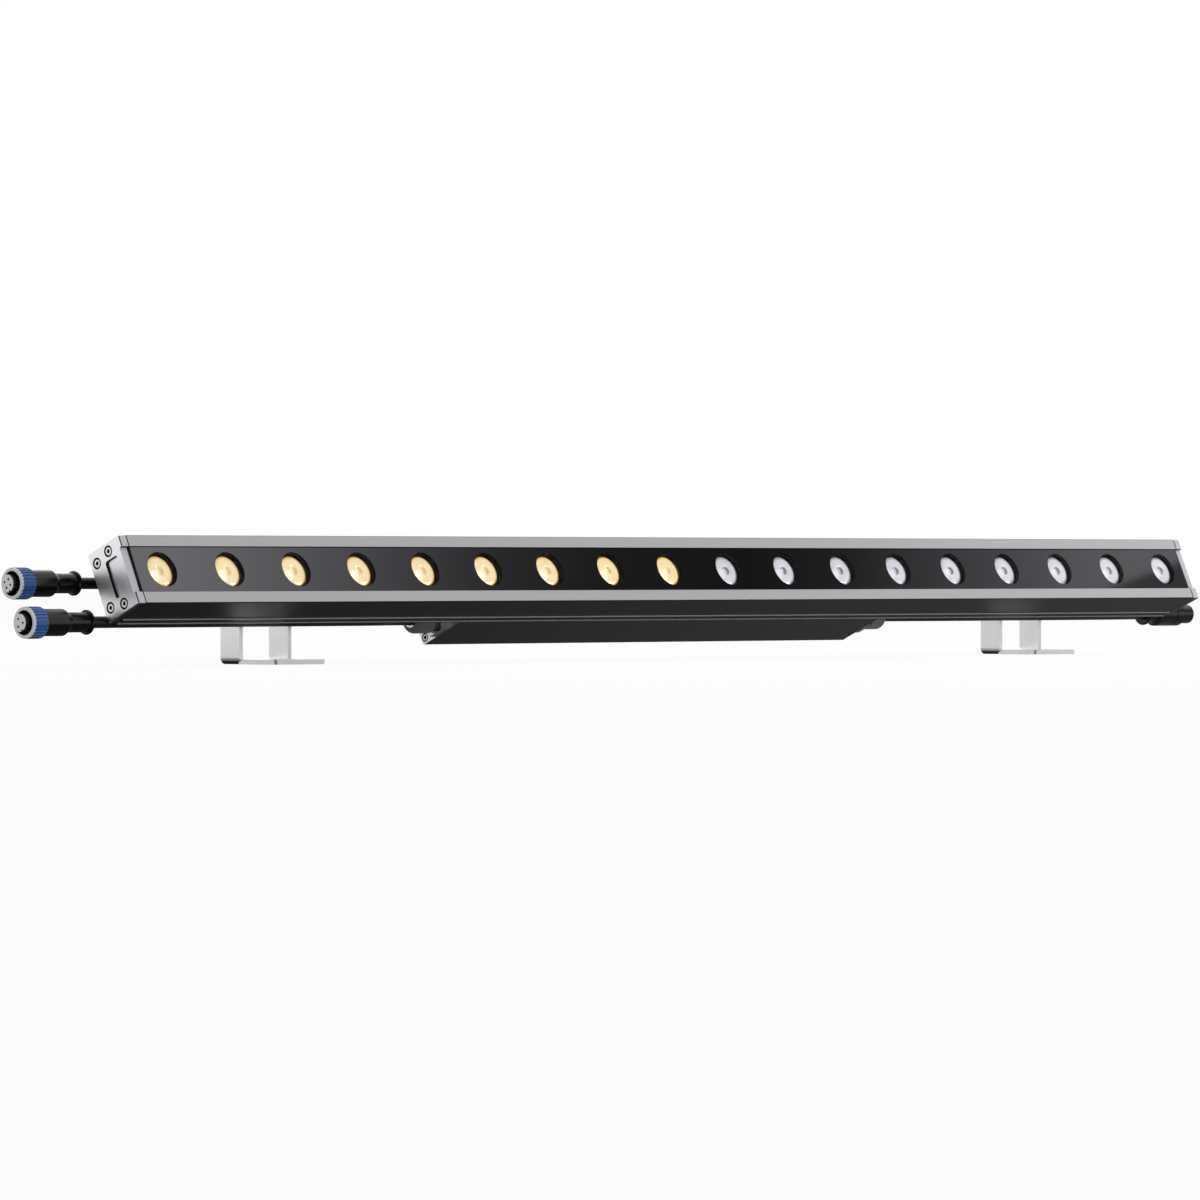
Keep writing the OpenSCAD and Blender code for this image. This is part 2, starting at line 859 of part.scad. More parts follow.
// The lower right lead bends once more, so its socket clears the back of the housing
module power_out_lead() {
    end = light_len/2 + socket_reach - socket_total - bend_lap;
    turn = end - socket_bend_gap - 2*bend_run(socket_line - power_line);
    color([0.06, 0.06, 0.06]) head() {
        lead(gland_us[0], power_line, turn);
        lead_bend(turn, power_line, socket_line);
        lead_run(end - socket_bend_gap, end, socket_line);
    }
}

module data_out_lead() {
    end = light_len/2 + socket_reach - socket_total - bend_lap;
    color([0.06, 0.06, 0.06]) head() lead(gland_us[1], data_line, end);
}

// Rear half of a moulded connector: root cone, neck and collar, drawn from the body's back edge
function neck_points(s, len) = [
    [neck_root_r, s], [neck_r, s + neck_root_l], [neck_r, s + len],
    [collar_r - collar_edge, s + len], [collar_r, s + len + collar_edge],
    [collar_r, s + len + collar_t - collar_edge], [collar_r - collar_edge, s + len + collar_t],
    [0, s + len + collar_t]
];

// Arc from the body's side to its back face
function round_points(r, s, round) =
    [for (a = [0 : 15 : 90]) [r - round + round*cos(a), s - round + round*sin(a)]];

// Moulded plug on a lead; s runs from the front face of its nut
module plug(x, place) {
    s0 = nut_l + play;
    lip = nut_l - nut_shoulder - play;
    turned_x(x, place[0], place[1]) polygon(concat(
        [
            [0, s0 - spigot_l], [spigot_r, s0 - spigot_l], [spigot_r, lip - spigot_lip_t],
            [spigot_lip_r, lip - spigot_lip_t], [spigot_lip_r, lip], [spigot_r, lip],
            [spigot_r, s0], [plug_r, s0]
        ],
        round_points(plug_r, s0 + plug_l, plug_round/2),
        neck_points(s0 + plug_l, neck_l)
    ));
}

// Insert of the plug, with a hole for each pin and a key notch
module insert(x, place, pins, start) {
    len = insert_out + nut_l + play - spigot_l;
    difference() {
        bar_x(x - insert_out, len, insert_r, place[0], place[1]);
        translate([x - insert_out, place[0], place[1]]) {
            for (i = [0 : pins - 1]) rotate([start + i*360/pins, 0, 0])
                translate([-cut, pin_ring_r, 0]) rotate([0, 90, 0])
                    cylinder(h = pin_hole_deep + cut, r = pin_hole_r);
            rotate([key_angle, 0, 0]) translate([-cut, insert_r - key_deep, -key_w/2])
                cube([pin_hole_deep + cut, key_deep + cut, key_w]);
        }
    }
}

// Coupling nut: fluted grip with a plain ring in front, bored to run on the plug
module coupling_nut(x, place) {
    v = place[0];
    u = place[1];
    step = 360/nut_flutes;
    difference() {
        union() {
            along_x(x + nut_ring, nut_l - nut_ring) translate([v, u]) polygon([
                for (i = [0 : nut_flutes - 1])
                each concat(
                    [for (s = flute_land_shares) nut_r*[cos((i + s)*step), sin((i + s)*step)]],
                    [for (s = flute_root_shares)
                        (nut_r - flute_deep)*[cos((i + s)*step), sin((i + s)*step)]]
                )
            ]);
            bar_x(x, nut_ring, nut_r - flute_deep/2, v, u);
        }
        bar_x(x - cut, nut_l - nut_shoulder + cut, nut_bore_r, v, u);
        bar_x(x - cut, nut_l + 2*cut, spigot_r + run_fit, v, u);
        turned_x(x + nut_l - nut_edge, v, u)
            polygon([
                [nut_r + cut, -cut], [nut_r + cut, nut_edge + cut],
                [nut_r - nut_edge - cut, nut_edge + cut]
            ]);
    }
}

power_x = -light_len/2 - power_reach;
data_x = -light_len/2 - data_reach;

module power_in_plug() {
    color([0.08, 0.08, 0.08]) head() plug(power_x, power_line);
}

module data_in_plug() {
    color([0.08, 0.08, 0.08]) head() plug(data_x, data_line);
}

module power_in_insert() {
    color("gainsboro") head() insert(power_x, power_line, power_pins, power_pin_start);
}

module data_in_insert() {
    color("gainsboro") head() insert(data_x, data_line, data_pins, data_pin_start);
}

module power_in_nut() {
    color([0.14, 0.24, 0.5]) head() coupling_nut(power_x, power_line);
}

module data_in_nut() {
    color([0.14, 0.24, 0.5]) head() coupling_nut(data_x, data_line);
}

// Socket on the right, drawn from its mouth back towards the lead
module out_socket(x, place) {
    s0 = socket_spigot_l;
    groove_s = s0 + socket_ring_l;
    mirror([1, 0, 0]) difference() {
        turned_x(-x, place[0], place[1]) polygon(concat(
            [[0, 0], [socket_spigot_r, 0], [socket_spigot_r, s0], [plug_r, s0]],
            [[plug_r, groove_s], [plug_r - socket_groove, groove_s]],
            [[plug_r - socket_groove, groove_s + socket_groove], [plug_r, groove_s + socket_groove]],
            round_points(plug_r, s0 + socket_l, plug_round/2),
            neck_points(s0 + socket_l, socket_neck)
        ));
        bar_x(-x - cut, socket_bore_deep + cut, socket_bore_r, place[0], place[1]);
    }
}

// Pins of the socket on their moulded base
module out_pins(x, place, pins, start) {
    back = x - socket_bore_deep;
    bar_x(back, pin_base_t, socket_bore_r - run_fit, place[0], place[1]);
    translate([back + pin_base_t, place[0], place[1]]) for (i = [0 : pins - 1])
        rotate([start + i*360/pins, 0, 0]) translate([0, pin_ring_r, 0])
            rotate([0, 90, 0]) cylinder(h = socket_pin_l - pin_base_t, r = pin_r);
}

out_x = light_len/2 + socket_reach;

module power_out_socket() {
    color([0.08, 0.08, 0.08]) head() out_socket(out_x, socket_line);
}

module data_out_socket() {
    color([0.08, 0.08, 0.08]) head() out_socket(out_x, data_line);
}

module power_out_pins() {
    color("gold") head() out_pins(out_x, socket_line, power_pins, power_pin_start);
}

module data_out_pins() {
    color("gold") head() out_pins(out_x, data_line, data_pins, data_pin_start);
}

// Plastic clip that snaps into the tee slot and holds both leads off the housing
module lead_clip(x) {
    ring = lead_r + clip_wall;
    plate_v = body_d + play;
    difference() {
        union() {
            block(x, plate_v, (power_u + data_u)/2, [clip_w, clip_plate_t, data_u - power_u]);
            block(x, body_d - slot_lip, 0, [clip_w, slot_lip + play + clip_plate_t, slot_mouth - 4*play]);
            block(x, plate_v, data_u, [clip_w, data_v - plate_v, clip_plate_t]);
            bar_x(x - clip_w/2, clip_w, ring, data_v, data_u);
            block(x, body_d - slot_lip - clip_barb, 0, [clip_w, clip_barb, slot_mouth + clip_barb]);
            intersection() {
                bar_x(x - clip_w/2, clip_w, ring, power_v, power_u);
                block(x, plate_v, power_u + ring/2, [clip_w, 2*ring, ring]);
            }
        }
        for (p = [[data_v, data_u], [power_v, power_u]])
            bar_x(x - clip_w/2 - cut, clip_w + 2*cut, lead_r + run_fit, p[0], p[1]);
        block(x, data_v + lead_r/2, data_u, [clip_w + 2*cut, 2*ring, 2*lead_r*clip_gap_share]);
    }
}

module lead_clips() {
    color([0.12, 0.12, 0.12]) head() both_ends() lead_clip(clip_x);
}

// Knuckle: flange against the slot, two ears for the tilt bolt
module knuckle(x) {
    v0 = body_d + flange_gap;
    difference() {
        union() {
            block(x, v0, flange_u, [knuckle_w, flange_t, flange_h]);
            for (side = [-1, 1]) {
                cx = x + side*(knuckle_w - ear_t)/2 - ear_t/2;
                along_x(cx, ear_t) {
                    translate([pivot_v, pivot_u]) circle(r = ear_r);
                    rect_vu(v0 + flange_t/2, pivot_v, pivot_u - ear_r, pivot_u + ear_r);
                }
            }
        }
        bar_x(x - knuckle_w/2 - cut, knuckle_w + 2*cut, pivot_bolt_r + run_fit, pivot_v, pivot_u);
        for (side = [-1, 1])
            bar_v(x + side*knuckle_screw_x, v0 - cut, 0, flange_t + 2*cut, knuckle_screw_r + play);
    }
}

// Sliding nut in the tee slot, tapped for the knuckle's screws
module channel_nut(x) {
    v1 = slot_v + slot_d - slide_gap;
    difference() {
        union() {
            block(x, v1 - channel_nut_t, 0, [channel_nut_l, channel_nut_t, slot_w - 4*slide_gap]);
            block(x, v1, 0, [channel_nut_l, channel_nut_tongue, slot_mouth - 4*slide_gap]);
        }
        for (side = [-1, 1])
            bar_v(x + side*knuckle_screw_x, slot_v - cut, 0, body_d, knuckle_screw_r + run_fit);
    }
}

// Socket-head screws that clamp the knuckle to its sliding nut
module knuckle_screws(x) {
    v = body_d + flange_gap + flange_t;
    for (side = [-1, 1]) difference() {
        union() {
            bar_v(x + side*knuckle_screw_x, v, 0, knuckle_head_h, knuckle_head_r);
            bar_v(x + side*knuckle_screw_x, v - knuckle_screw_len, 0, knuckle_screw_len, knuckle_screw_r);
        }
        translate([x + side*knuckle_screw_x, v + knuckle_head_h - knuckle_socket_deep, 0])
            rotate([-90, 0, 0])
                cylinder(h = knuckle_socket_deep + cut, r = knuckle_socket_af/2/cos(30), $fn = 6);
    }
}

// Bracket bent from sheet: a foot with two fixing holes and two upright legs
module bracket(x) {
    r = bend_in_r;
    t = sheet_t;
    w = bracket_w/2;
    tab_w = bracket_w - 2*tab_inset;
    c = foot_corner;
    front = foot_front_y;
    back = leg_front_y + relief_w;
    translate([x, 0, 0]) difference() {
        union() {
            // Foot in front of the legs, its front corners cut off
            linear_extrude(t) polygon([
                [-tab_w/2, back], [-tab_w/2, front + c], [c - tab_w/2, front],
                [tab_w/2 - c, front], [tab_w/2, front + c], [tab_w/2, back]
            ]);
            // Floor between the legs
            translate([r + t - w, leg_front_y, 0]) cube([2*(w - t - r), leg_w, t]);
            for (side = [-1, 1]) bracket_leg(side);
        }
        for (side = [-1, 1])
            translate([0, side*fix_step/2, -cut]) cylinder(h = t + 2*cut, r = fix_r);
    }
}

// One leg with its bend, on the side given
module bracket_leg(side) {
    r = bend_in_r;
    t = sheet_t;
    w = bracket_w/2;
    mirror([side < 0 ? 1 : 0, 0, 0]) {
        translate([w - t - r, leg_front_y + leg_w, t + r]) rotate([90, 0, 0])
            rotate_extrude(angle = -90) translate([r, 0]) square([t, leg_w]);
        difference() {
            union() {
                translate([w - t, leg_front_y, t + r]) cube([t, leg_w, pivot_h - t - r]);
                translate([w - t, leg_mid_y, pivot_h]) rotate([0, 90, 0])
                    cylinder(h = t, r = min(leg_round, leg_w/2));
            }
            translate([w - t - cut, leg_mid_y, pivot_h]) rotate([0, 90, 0])
                cylinder(h = t + 2*cut, r = pivot_bolt_r + bolt_hole_gap);
        }
    }
}

// Hexagon bolt through both legs and both ears
module pivot_bolt(x) {
    grip = bracket_w + bolt_nut_h + bolt_tail;
    translate([x, leg_mid_y, pivot_h]) {
        prism_x(-bracket_w/2 - bolt_head_h, bolt_head_h, bolt_af, 0, 0);
        bar_x(-bracket_w/2, grip, pivot_bolt_r, 0, 0);
    }
}

module pivot_nut(x) {
    translate([x, leg_mid_y, pivot_h]) difference() {
        prism_x(bracket_w/2, bolt_nut_h, bolt_af, 0, 0);
        bar_x(bracket_w/2 - cut, bolt_nut_h + 2*cut, pivot_bolt_r + run_fit, 0, 0);
    }
}

// Friction washers between the ears and the legs
module pivot_washers(x) {
    translate([x, leg_mid_y, pivot_h]) for (side = [-1, 1]) difference() {
        bar_x(side*(bracket_w/2 - sheet_t - washer_t/2) - washer_t/2, washer_t, washer_r, 0, 0);
        bar_x(-bracket_w/2, bracket_w, pivot_bolt_r + bolt_hole_gap, 0, 0);
    }
}

module knuckle_left() { color("gray") head() knuckle(-bracket_x); }
module knuckle_right() { color("gray") head() knuckle(bracket_x); }
module channel_nut_left() { color("silver") head() channel_nut(-bracket_x); }
module channel_nut_right() { color("silver") head() channel_nut(bracket_x); }
module knuckle_screws_left() { color("silver") head() knuckle_screws(-bracket_x); }
module knuckle_screws_right() { color("silver") head() knuckle_screws(bracket_x); }
module bracket_left() { color("lightgray") bracket(-bracket_x); }
module bracket_right() { color("lightgray") bracket(bracket_x); }
module pivot_bolt_left() { color("silver") mirror([1, 0, 0]) pivot_bolt(bracket_x); }
module pivot_bolt_right() { color("silver") pivot_bolt(bracket_x); }
module pivot_nut_left() { color("silver") mirror([1, 0, 0]) pivot_nut(bracket_x); }
module pivot_nut_right() { color("silver") pivot_nut(bracket_x); }
module pivot_washers_left() { color([0.2, 0.2, 0.2]) pivot_washers(-bracket_x); }
module pivot_washers_right() { color([0.2, 0.2, 0.2]) pivot_washers(bracket_x); }

housing();
front_glass();
glass_gasket();
window_mask();
led_board();
warm_leds();
cool_leds();
lens_holders();
warm_lenses();
cool_lenses();
board_screws();
board_wires();
wire_grommet();
end_cap_left();
end_cap_right();
end_cap_gaskets();
end_cap_screws();
driver_case();
driver_end_plate_left();
driver_end_plate_right();
driver_gaskets();
driver_end_screws();
driver_board();
driver_transformer();
driver_capacitors();
driver_tee_bolts();
driver_tee_nuts();
gland_bodies();
gland_nuts();
gland_seals();
power_in_lead();
data_in_lead();
power_out_lead();
data_out_lead();
power_in_plug();
power_in_insert();
data_in_plug();
data_in_insert();
power_in_nut();
data_in_nut();
power_out_socket();
power_out_pins();
data_out_socket();
data_out_pins();
lead_clips();
knuckle_left();
channel_nut_left();
knuckle_screws_left();
knuckle_right();
channel_nut_right();
knuckle_screws_right();
bracket_left();
pivot_bolt_left();
pivot_nut_left();
pivot_washers_left();
bracket_right();
pivot_bolt_right();
pivot_nut_right();
pivot_washers_right();
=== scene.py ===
"""Looks of the linear architectural light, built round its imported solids.

The sections follow the light as it is put together: housing, glass, lamps, ends, driver box,
leads with their plugs, and the two floor brackets. Sizes of the light are in millimetres. The
camera, floor, cards and lamps round it are placed in metres.
"""

import math

import bmesh
import bpy
from mathutils import Matrix, Vector


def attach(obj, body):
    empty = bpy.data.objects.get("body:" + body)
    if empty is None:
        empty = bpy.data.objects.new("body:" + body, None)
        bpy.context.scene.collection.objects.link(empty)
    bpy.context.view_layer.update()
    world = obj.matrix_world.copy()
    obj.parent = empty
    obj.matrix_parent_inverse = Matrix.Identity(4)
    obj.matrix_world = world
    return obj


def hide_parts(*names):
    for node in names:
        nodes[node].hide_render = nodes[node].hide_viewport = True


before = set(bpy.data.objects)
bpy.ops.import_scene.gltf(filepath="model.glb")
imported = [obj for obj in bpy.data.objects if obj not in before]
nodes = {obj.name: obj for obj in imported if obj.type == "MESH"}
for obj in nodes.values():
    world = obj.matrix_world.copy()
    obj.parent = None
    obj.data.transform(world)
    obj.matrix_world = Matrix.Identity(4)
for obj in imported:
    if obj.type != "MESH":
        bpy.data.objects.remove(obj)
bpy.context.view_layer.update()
scene = bpy.context.scene
scene.view_settings.view_transform = "Standard"


# Camera
# A long lens nearly level with the light, off its left end, as in the photograph.
camera_place = (-3.355558, -3.163039, 0.053866)
camera_heading = math.radians(-46.03923)
camera_pitch = math.radians(90 - 0.19266)
camera_roll = math.radians(-0.07328)


def added(name, data):
    """New object of the scene with its mesh, camera or lamp."""
    made = bpy.data.objects.new(name, data)
    scene.collection.objects.link(made)
    return made


camera = added("camera", bpy.data.cameras.new("camera"))
camera.data.sensor_width = 36
camera.data.lens = 212.502
camera.data.clip_start = 0.1
camera.data.clip_end = 60
camera.matrix_world = (
    Matrix.Translation(camera_place)
    @ Matrix.Rotation(camera_heading, 4, "Z")
    @ Matrix.Rotation(camera_pitch, 4, "X")
    @ Matrix.Rotation(camera_roll, 4, "Z")
)
scene.camera = camera


# Housing
# One aluminium extrusion. Its dark grey is painted shade, standing in for the dark ground that its
# faces reflect; the front strips and the fronts of its ribs keep the metal's own satin grey. Fine
# lines from the die run along it.
tilt = math.radians(24.3)
front = Vector((0, -math.cos(tilt), math.sin(tilt)))
rise = Vector((0, math.sin(tilt), math.cos(tilt)))
pivot = Vector((0, 23.6, 36.8))
pivot_depth = 46.4
pivot_height = -3
line_stretch = 60
broad_scale_share = 0.07
broad_part = 0.45
front_facing = (0.86, 0.95)


def at(x, depth, height):
    """Point of the tilted head, in metres: depth runs back from its front strips."""
    along = Vector((x, 0, 0))
    return (pivot + along - (depth - pivot_depth) * front + (height - pivot_height) * rise) / 1000


def linear(step):
    """Linear value of a colour step, which runs from 0 to 255."""
    share = step / 255
    return share / 12.92 if share < 0.04045 else ((share + 0.055) / 1.055) ** 2.4


def colour_of(*steps):
    """Colour from one grey step, or from a red, a green and a blue one."""
    red, green, blue = steps if len(steps) == 3 else steps * 3
    return (linear(red), linear(green), linear(blue), 1)


def feed(node, feeds):
    """Feeds inputs of a node, each by a value or by the output of another node."""
    for key, value in feeds.items():
        if isinstance(value, bpy.types.NodeSocket):
            node.id_data.links.new(value, node.inputs[key])
        else:
            node.inputs[key].default_value = value


def node_at(tree, kind, place, feeds=None, **values):
    """New node of a tree, with its own values set and its inputs fed."""
    made = tree.nodes.new(kind)
    made.location = place
    for name, value in values.items():
        setattr(made, name, value)
    feed(made, feeds or {})
    return made


def maths(tree, operation, place, *terms):
    """Result of an operation on numbers."""
    made = node_at(tree, "ShaderNodeMath", place, dict(enumerate(terms)), operation=operation)
    return made.outputs[0]


def vectors(tree, operation, place, *terms):
    """Result of an operation on vectors: a number for some operations, else a vector."""
    made = node_at(tree, "ShaderNodeVectorMath", place, dict(enumerate(terms)), operation=operation)
    gives_number = operation in ("DOT_PRODUCT", "LENGTH", "DISTANCE")
    return made.outputs["Value" if gives_number else "Vector"]


def new_group(name, kind, inputs, outputs):
    """Empty node group with its named inputs and outputs."""
    tree = bpy.data.node_groups.new(name, kind)
    for side, sockets in (("INPUT", inputs), ("OUTPUT", outputs)):
        for socket, sort in sockets.items():
            tree.interface.new_socket(socket, in_out=side, socket_type="NodeSocket" + sort)
    return tree


def grain_group(name, stretch):
    """Shader group: noise in object space, drawn out along X by stretch, as a tone and a height."""
    tree = new_group(name, "ShaderNodeTree", {"Vector": "Vector", "Scale": "Float"},
                     {"Tone": "Float", "Height": "Float"})
    given = node_at(tree, "NodeGroupInput", (-700, 0))
    scale = given.outputs["Scale"]
    turned = node_at(tree, "ShaderNodeMapping", (-500, 0), {
        "Vector": given.outputs["Vector"],
        "Rotation": (-tilt if stretch != 1 else 0, 0, 0),
        "Scale": (1 / stretch, 1, 1),
    })
    fine = node_at(tree, "ShaderNodeTexNoise", (-250, 120), {
        "Vector": turned.outputs["Vector"],
        "Scale": scale,
        "Detail": 3,
        "Roughness": 0.6,
    })
    broad = node_at(tree, "ShaderNodeTexNoise", (-250, -160), {
        "Vector": turned.outputs["Vector"],
        "Scale": maths(tree, "MULTIPLY", (-450, -220), scale, broad_scale_share),
        "Detail": 2,
        "Roughness": 0.5,
    })
    blend = node_at(tree, "ShaderNodeMix", (50, 0), {
        0: broad_part,
        2: fine.outputs["Fac"],
        3: broad.outputs["Fac"],
    }, data_type="FLOAT")
    node_at(tree, "NodeGroupOutput", (500, 0), {
        "Tone": blend.outputs[0],
        "Height": fine.outputs["Fac"],
    })
    return tree


drawn_lines = grain_group("drawn_lines", line_stretch)
fine_grain = grain_group("fine_grain", 1)


def shader_of(material):
    """Main shader of a material."""
    return material.node_tree.nodes["Principled BSDF"]


def new_material(name):
    """New material with its tree and its shader."""
    made = bpy.data.materials.new(name)
    made.use_nodes = True
    return made, made.node_tree, shader_of(made)


def finish_of(name, colour, rough, scale, tone, bump, relief, metallic=0, grain=fine_grain,
              swing=0.06):
    """Procedural material: a colour, roughness and relief that the grain group varies."""
    made, tree, shader = new_material(name)
    where = node_at(tree, "ShaderNodeTexCoord", (-1100, 0))
    noise = node_at(tree, "ShaderNodeGroup", (-900, 0), {
        "Vector": where.outputs["Object"],
        "Scale": scale,
    }, node_tree=grain)
    shade = node_at(tree, "ShaderNodeMix", (-500, 200), {
        0: noise.outputs["Tone"],
        6: [c * (1 - tone) for c in colour[:3]] + [1],
        7: [c * (1 + tone) for c in colour[:3]] + [1],
    }, data_type="RGBA", label="shade")
    gloss = node_at(tree, "ShaderNodeMapRange", (-500, -50), {
        "Value": noise.outputs["Tone"],
        "To Min": rough - swing,
        "To Max": rough + swing,
    }, label="gloss")
    height = node_at(tree, "ShaderNodeBump", (-250, -250), {
        "Height": noise.outputs["Height"],
        "Strength": bump,
        "Distance": relief / 1000,
    }, label="height")
    feed(shader, {
        "Base Color": shade.outputs[2],
        "Metallic": metallic,
        "Roughness": gloss.outputs["Result"],
        "Normal": height.outputs["Normal"],
    })
    return made


def overlay(material, mask, label, colour, metallic=None):
    """Lays a colour, and a metallic value where one is given, over a finish where the mask is 1."""
    layers = [("Base Color", "RGBA", 6, 2, colour)]
    if metallic is not None:
        layers.append(("Metallic", "FLOAT", 2, 0, metallic))
    for socket, kind, first, result, value in layers:
        target = shader_of(material).inputs[socket]
        under = target.links[0].from_socket if target.links else target.default_value
        over = node_at(material.node_tree, "ShaderNodeMix", (-150, 200), {
            0: mask,
            first: under,
            first + 1: value,
        }, data_type=kind, label=label)
        feed(shader_of(material), {socket: over.outputs[result]})


def facing_group():
    """Shader group: 1 where a normal looks along a direction, rising from a low to a high cosine."""
    tree = new_group("facing", "ShaderNodeTree", {
        "Normal": "Vector",
        "Direction": "Vector",
        "Low": "Float",
        "High": "Float",
    }, {"Mask": "Float"})
    given = node_at(tree, "NodeGroupInput", (-600, 0)).outputs
    step = node_at(tree, "ShaderNodeMapRange", (-200, 0), {
        "Value": vectors(tree, "DOT_PRODUCT", (-400, 0), given["Normal"], given["Direction"]),
        "From Min": given["Low"],
        "From Max": given["High"],
    }, interpolation_type="SMOOTHSTEP")
    node_at(tree, "NodeGroupOutput", (0, 0), {"Mask": step.outputs["Result"]})
    return tree


facing = facing_group()


def facing_mask(material, direction, low, high):
    """Mask that is 1 on faces that look in one direction of the piece, read in object space."""
    where = node_at(material.node_tree, "ShaderNodeTexCoord", (-1100, 500))
    mask = node_at(material.node_tree, "ShaderNodeGroup", (-900, 500), {
        "Normal": where.outputs["Normal"],
        "Direction": direction,
        "Low": low,
        "High": high,
    }, node_tree=facing)
    return mask.outputs["Mask"]


def dress(material, *names):
    """Gives CAD nodes their material."""
    for name in names:
        for slot in nodes[name].material_slots:
            slot.material = material


# Painted shade: dark grey on every face but those looking to the front.
anodised = finish_of("housing_painted_shade", colour_of(60, 60, 62), rough=0.42, scale=2400, tone=0.1,
                     bump=0.12, relief=0.02, metallic=1, grain=drawn_lines)
unshaded_front = facing_mask(anodised, front, *front_facing)
overlay(anodised, unshaded_front, "unshaded front", colour_of(174, 173, 176), 0.12)
dress(anodised, "housing")


# Front glass
# A strip of toughened glass in the opening between the strips, its long edges ground to a small
# bevel. Gloss black ceramic print on its front leaves a round window for each lamp. The windows
# are coated and show no reflection, so the sheen on the light is that of the print.
light_length = 1000
body_half = 493.7
glass_front = 0.6
glass_back = 3.06
glass_half_height = 14.88
glass_bevel = 0.3
lamp_count = 18
lamp_step = light_length / lamp_count
window_radius = 11.4
print_reach = 0.6
coated_ior = 1.08
print_ior = 1.9


def closed_mesh(name, shape):
    """Mesh of a closed shape, with its faces turned outwards."""
    bmesh.ops.recalc_face_normals(shape, faces=shape.faces)
    mesh = bpy.data.meshes.new(name)
    shape.to_mesh(mesh)
    shape.free()
    return mesh


def lofted(name, rings):
    """Mesh through rings with as many points each: quads between them and a face at each end."""
    shape = bmesh.new()
    made = [[shape.verts.new(point) for point in ring] for ring in rings]
    for first, second in zip(made, made[1:]):
        for i in range(len(first)):
            j = (i + 1) % len(first)
            shape.faces.new((first[i], first[j], second[j], second[i]))
    shape.faces.new(made[0])
    shape.faces.new(list(reversed(made[-1])))
    bmesh.ops.remove_doubles(shape, verts=shape.verts, dist=1e-7)
    return closed_mesh(name, shape)


def pane_ring(x, inset):
    """Outline of the pane at one place along it, drawn in by inset."""
    near = glass_front + inset
    far = glass_back - inset
    top = glass_half_height - inset
    edge = glass_bevel
    outline = [
        (near + edge, -top), (far - edge, -top), (far, edge - top), (far, top - edge),
        (far - edge, top), (near + edge, top), (near, top - edge), (near, edge - top),
    ]
    return [at(x, depth, height) for depth, height in outline]


def band_group():
    """Shader group: 1 where a vector, read along an axis, lies within half a band of its middle."""
    tree = new_group("band", "ShaderNodeTree", {
        "Vector": "Vector",
        "Axis": "Vector",
        "Middle": "Float",
        "Half": "Float",
    }, {"Mask": "Float"})
    given = node_at(tree, "NodeGroupInput", (-600, 0)).outputs
    along = vectors(tree, "DOT_PRODUCT", (-400, 0), given["Vector"], given["Axis"])
    close = maths(tree, "COMPARE", (-200, 0), along, given["Middle"], given["Half"])
    node_at(tree, "NodeGroupOutput", (0, 0), {"Mask": close})
    return tree


bands = band_group()


def band(material, source, axis, middle, half):
    """Mask that is 1 where the place or the normal, read along an axis, lies about a middle."""
    where = node_at(material.node_tree, "ShaderNodeTexCoord", (-1700, 1300))
    mask = node_at(material.node_tree, "ShaderNodeGroup", (-1500, 1300), {
        "Vector": where.outputs[source],
        "Axis": axis,
        "Middle": middle,
        "Half": half,
    }, node_tree=bands)
    return mask.outputs["Mask"]


def all_of(material, *masks):
    """Mask that is 1 where all the given ones are."""
    joined = masks[0]
    for mask in masks[1:]:
        joined = maths(material.node_tree, "MULTIPLY", (-700, 1300), joined, mask)
    return joined


def past_windows(material, reach):
    """Mask that is 0 within reach of each lamp's axis and 1 past it."""
    tree = material.node_tree
    where = node_at(tree, "ShaderNodeTexCoord", (-1900, -500))
    split = node_at(tree, "ShaderNodeSeparateXYZ", (-1700, -400), {0: where.outputs["Object"]})
    cell = maths(tree, "WRAP", (-1500, -400), split.outputs["X"], lamp_step / 1000, 0)
    across = maths(tree, "SUBTRACT", (-1300, -400), cell, lamp_step / 2000)
    along = vectors(tree, "DOT_PRODUCT", (-1700, -600), where.outputs["Object"], rise)
    height = maths(tree, "SUBTRACT", (-1300, -600), along, at(0, 0, 0).dot(rise))
    offset = node_at(tree, "ShaderNodeCombineXYZ", (-1100, -500), {"X": across, "Y": height})
    gap = vectors(tree, "LENGTH", (-900, -500), offset.outputs[0])
    return maths(tree, "GREATER_THAN", (-700, -500), gap, reach / 1000)


pane = added("glass_pane", lofted("glass_pane", [
    pane_ring(-body_half, glass_bevel),
    pane_ring(glass_bevel - body_half, 0),
    pane_ring(body_half - glass_bevel, 0),
    pane_ring(body_half, glass_bevel),
]))
clear_glass, tree, window_glass = new_material("front_glass")
where = node_at(tree, "ShaderNodeTexCoord", (-1100, 100))
noise = node_at(tree, "ShaderNodeGroup", (-900, 100), {
    "Vector": where.outputs["Object"],
    "Scale": 90,
}, node_tree=fine_grain)
gloss = node_at(tree, "ShaderNodeMapRange", (-650, 0), {
    "Value": noise.outputs["Tone"],
    "To Min": 0.012,
    "To Max": 0.03,
})
shade = node_at(tree, "ShaderNodeMix", (-650, 250), {
    0: noise.outputs["Tone"],
    6: (0.985, 0.98, 0.985, 1),
    7: (1, 0.995, 1, 1),
}, data_type="RGBA")
feed(window_glass, {
    "Base Color": shade.outputs[2],
    "Roughness": gloss.outputs["Result"],
    "Transmission Weight": 1,
    "IOR": coated_ior,
})
black_print = node_at(tree, "ShaderNodeBsdfPrincipled", (-300, -500), {
    "Base Color": colour_of(10, 10, 11),
    "Roughness": 0.05,
    "IOR": print_ior,
})
printed = all_of(
    clear_glass,
    past_windows(clear_glass, window_radius),
    band(clear_glass, "Object", front, at(0, glass_front, 0).dot(front), print_reach / 1000),
)
face = node_at(tree, "ShaderNodeMixShader", (50, 0), {
    0: printed,
    1: window_glass.outputs["BSDF"],
    2: black_print.outputs["BSDF"],
})
rays = node_at(tree, "ShaderNodeLightPath", (50, 400))
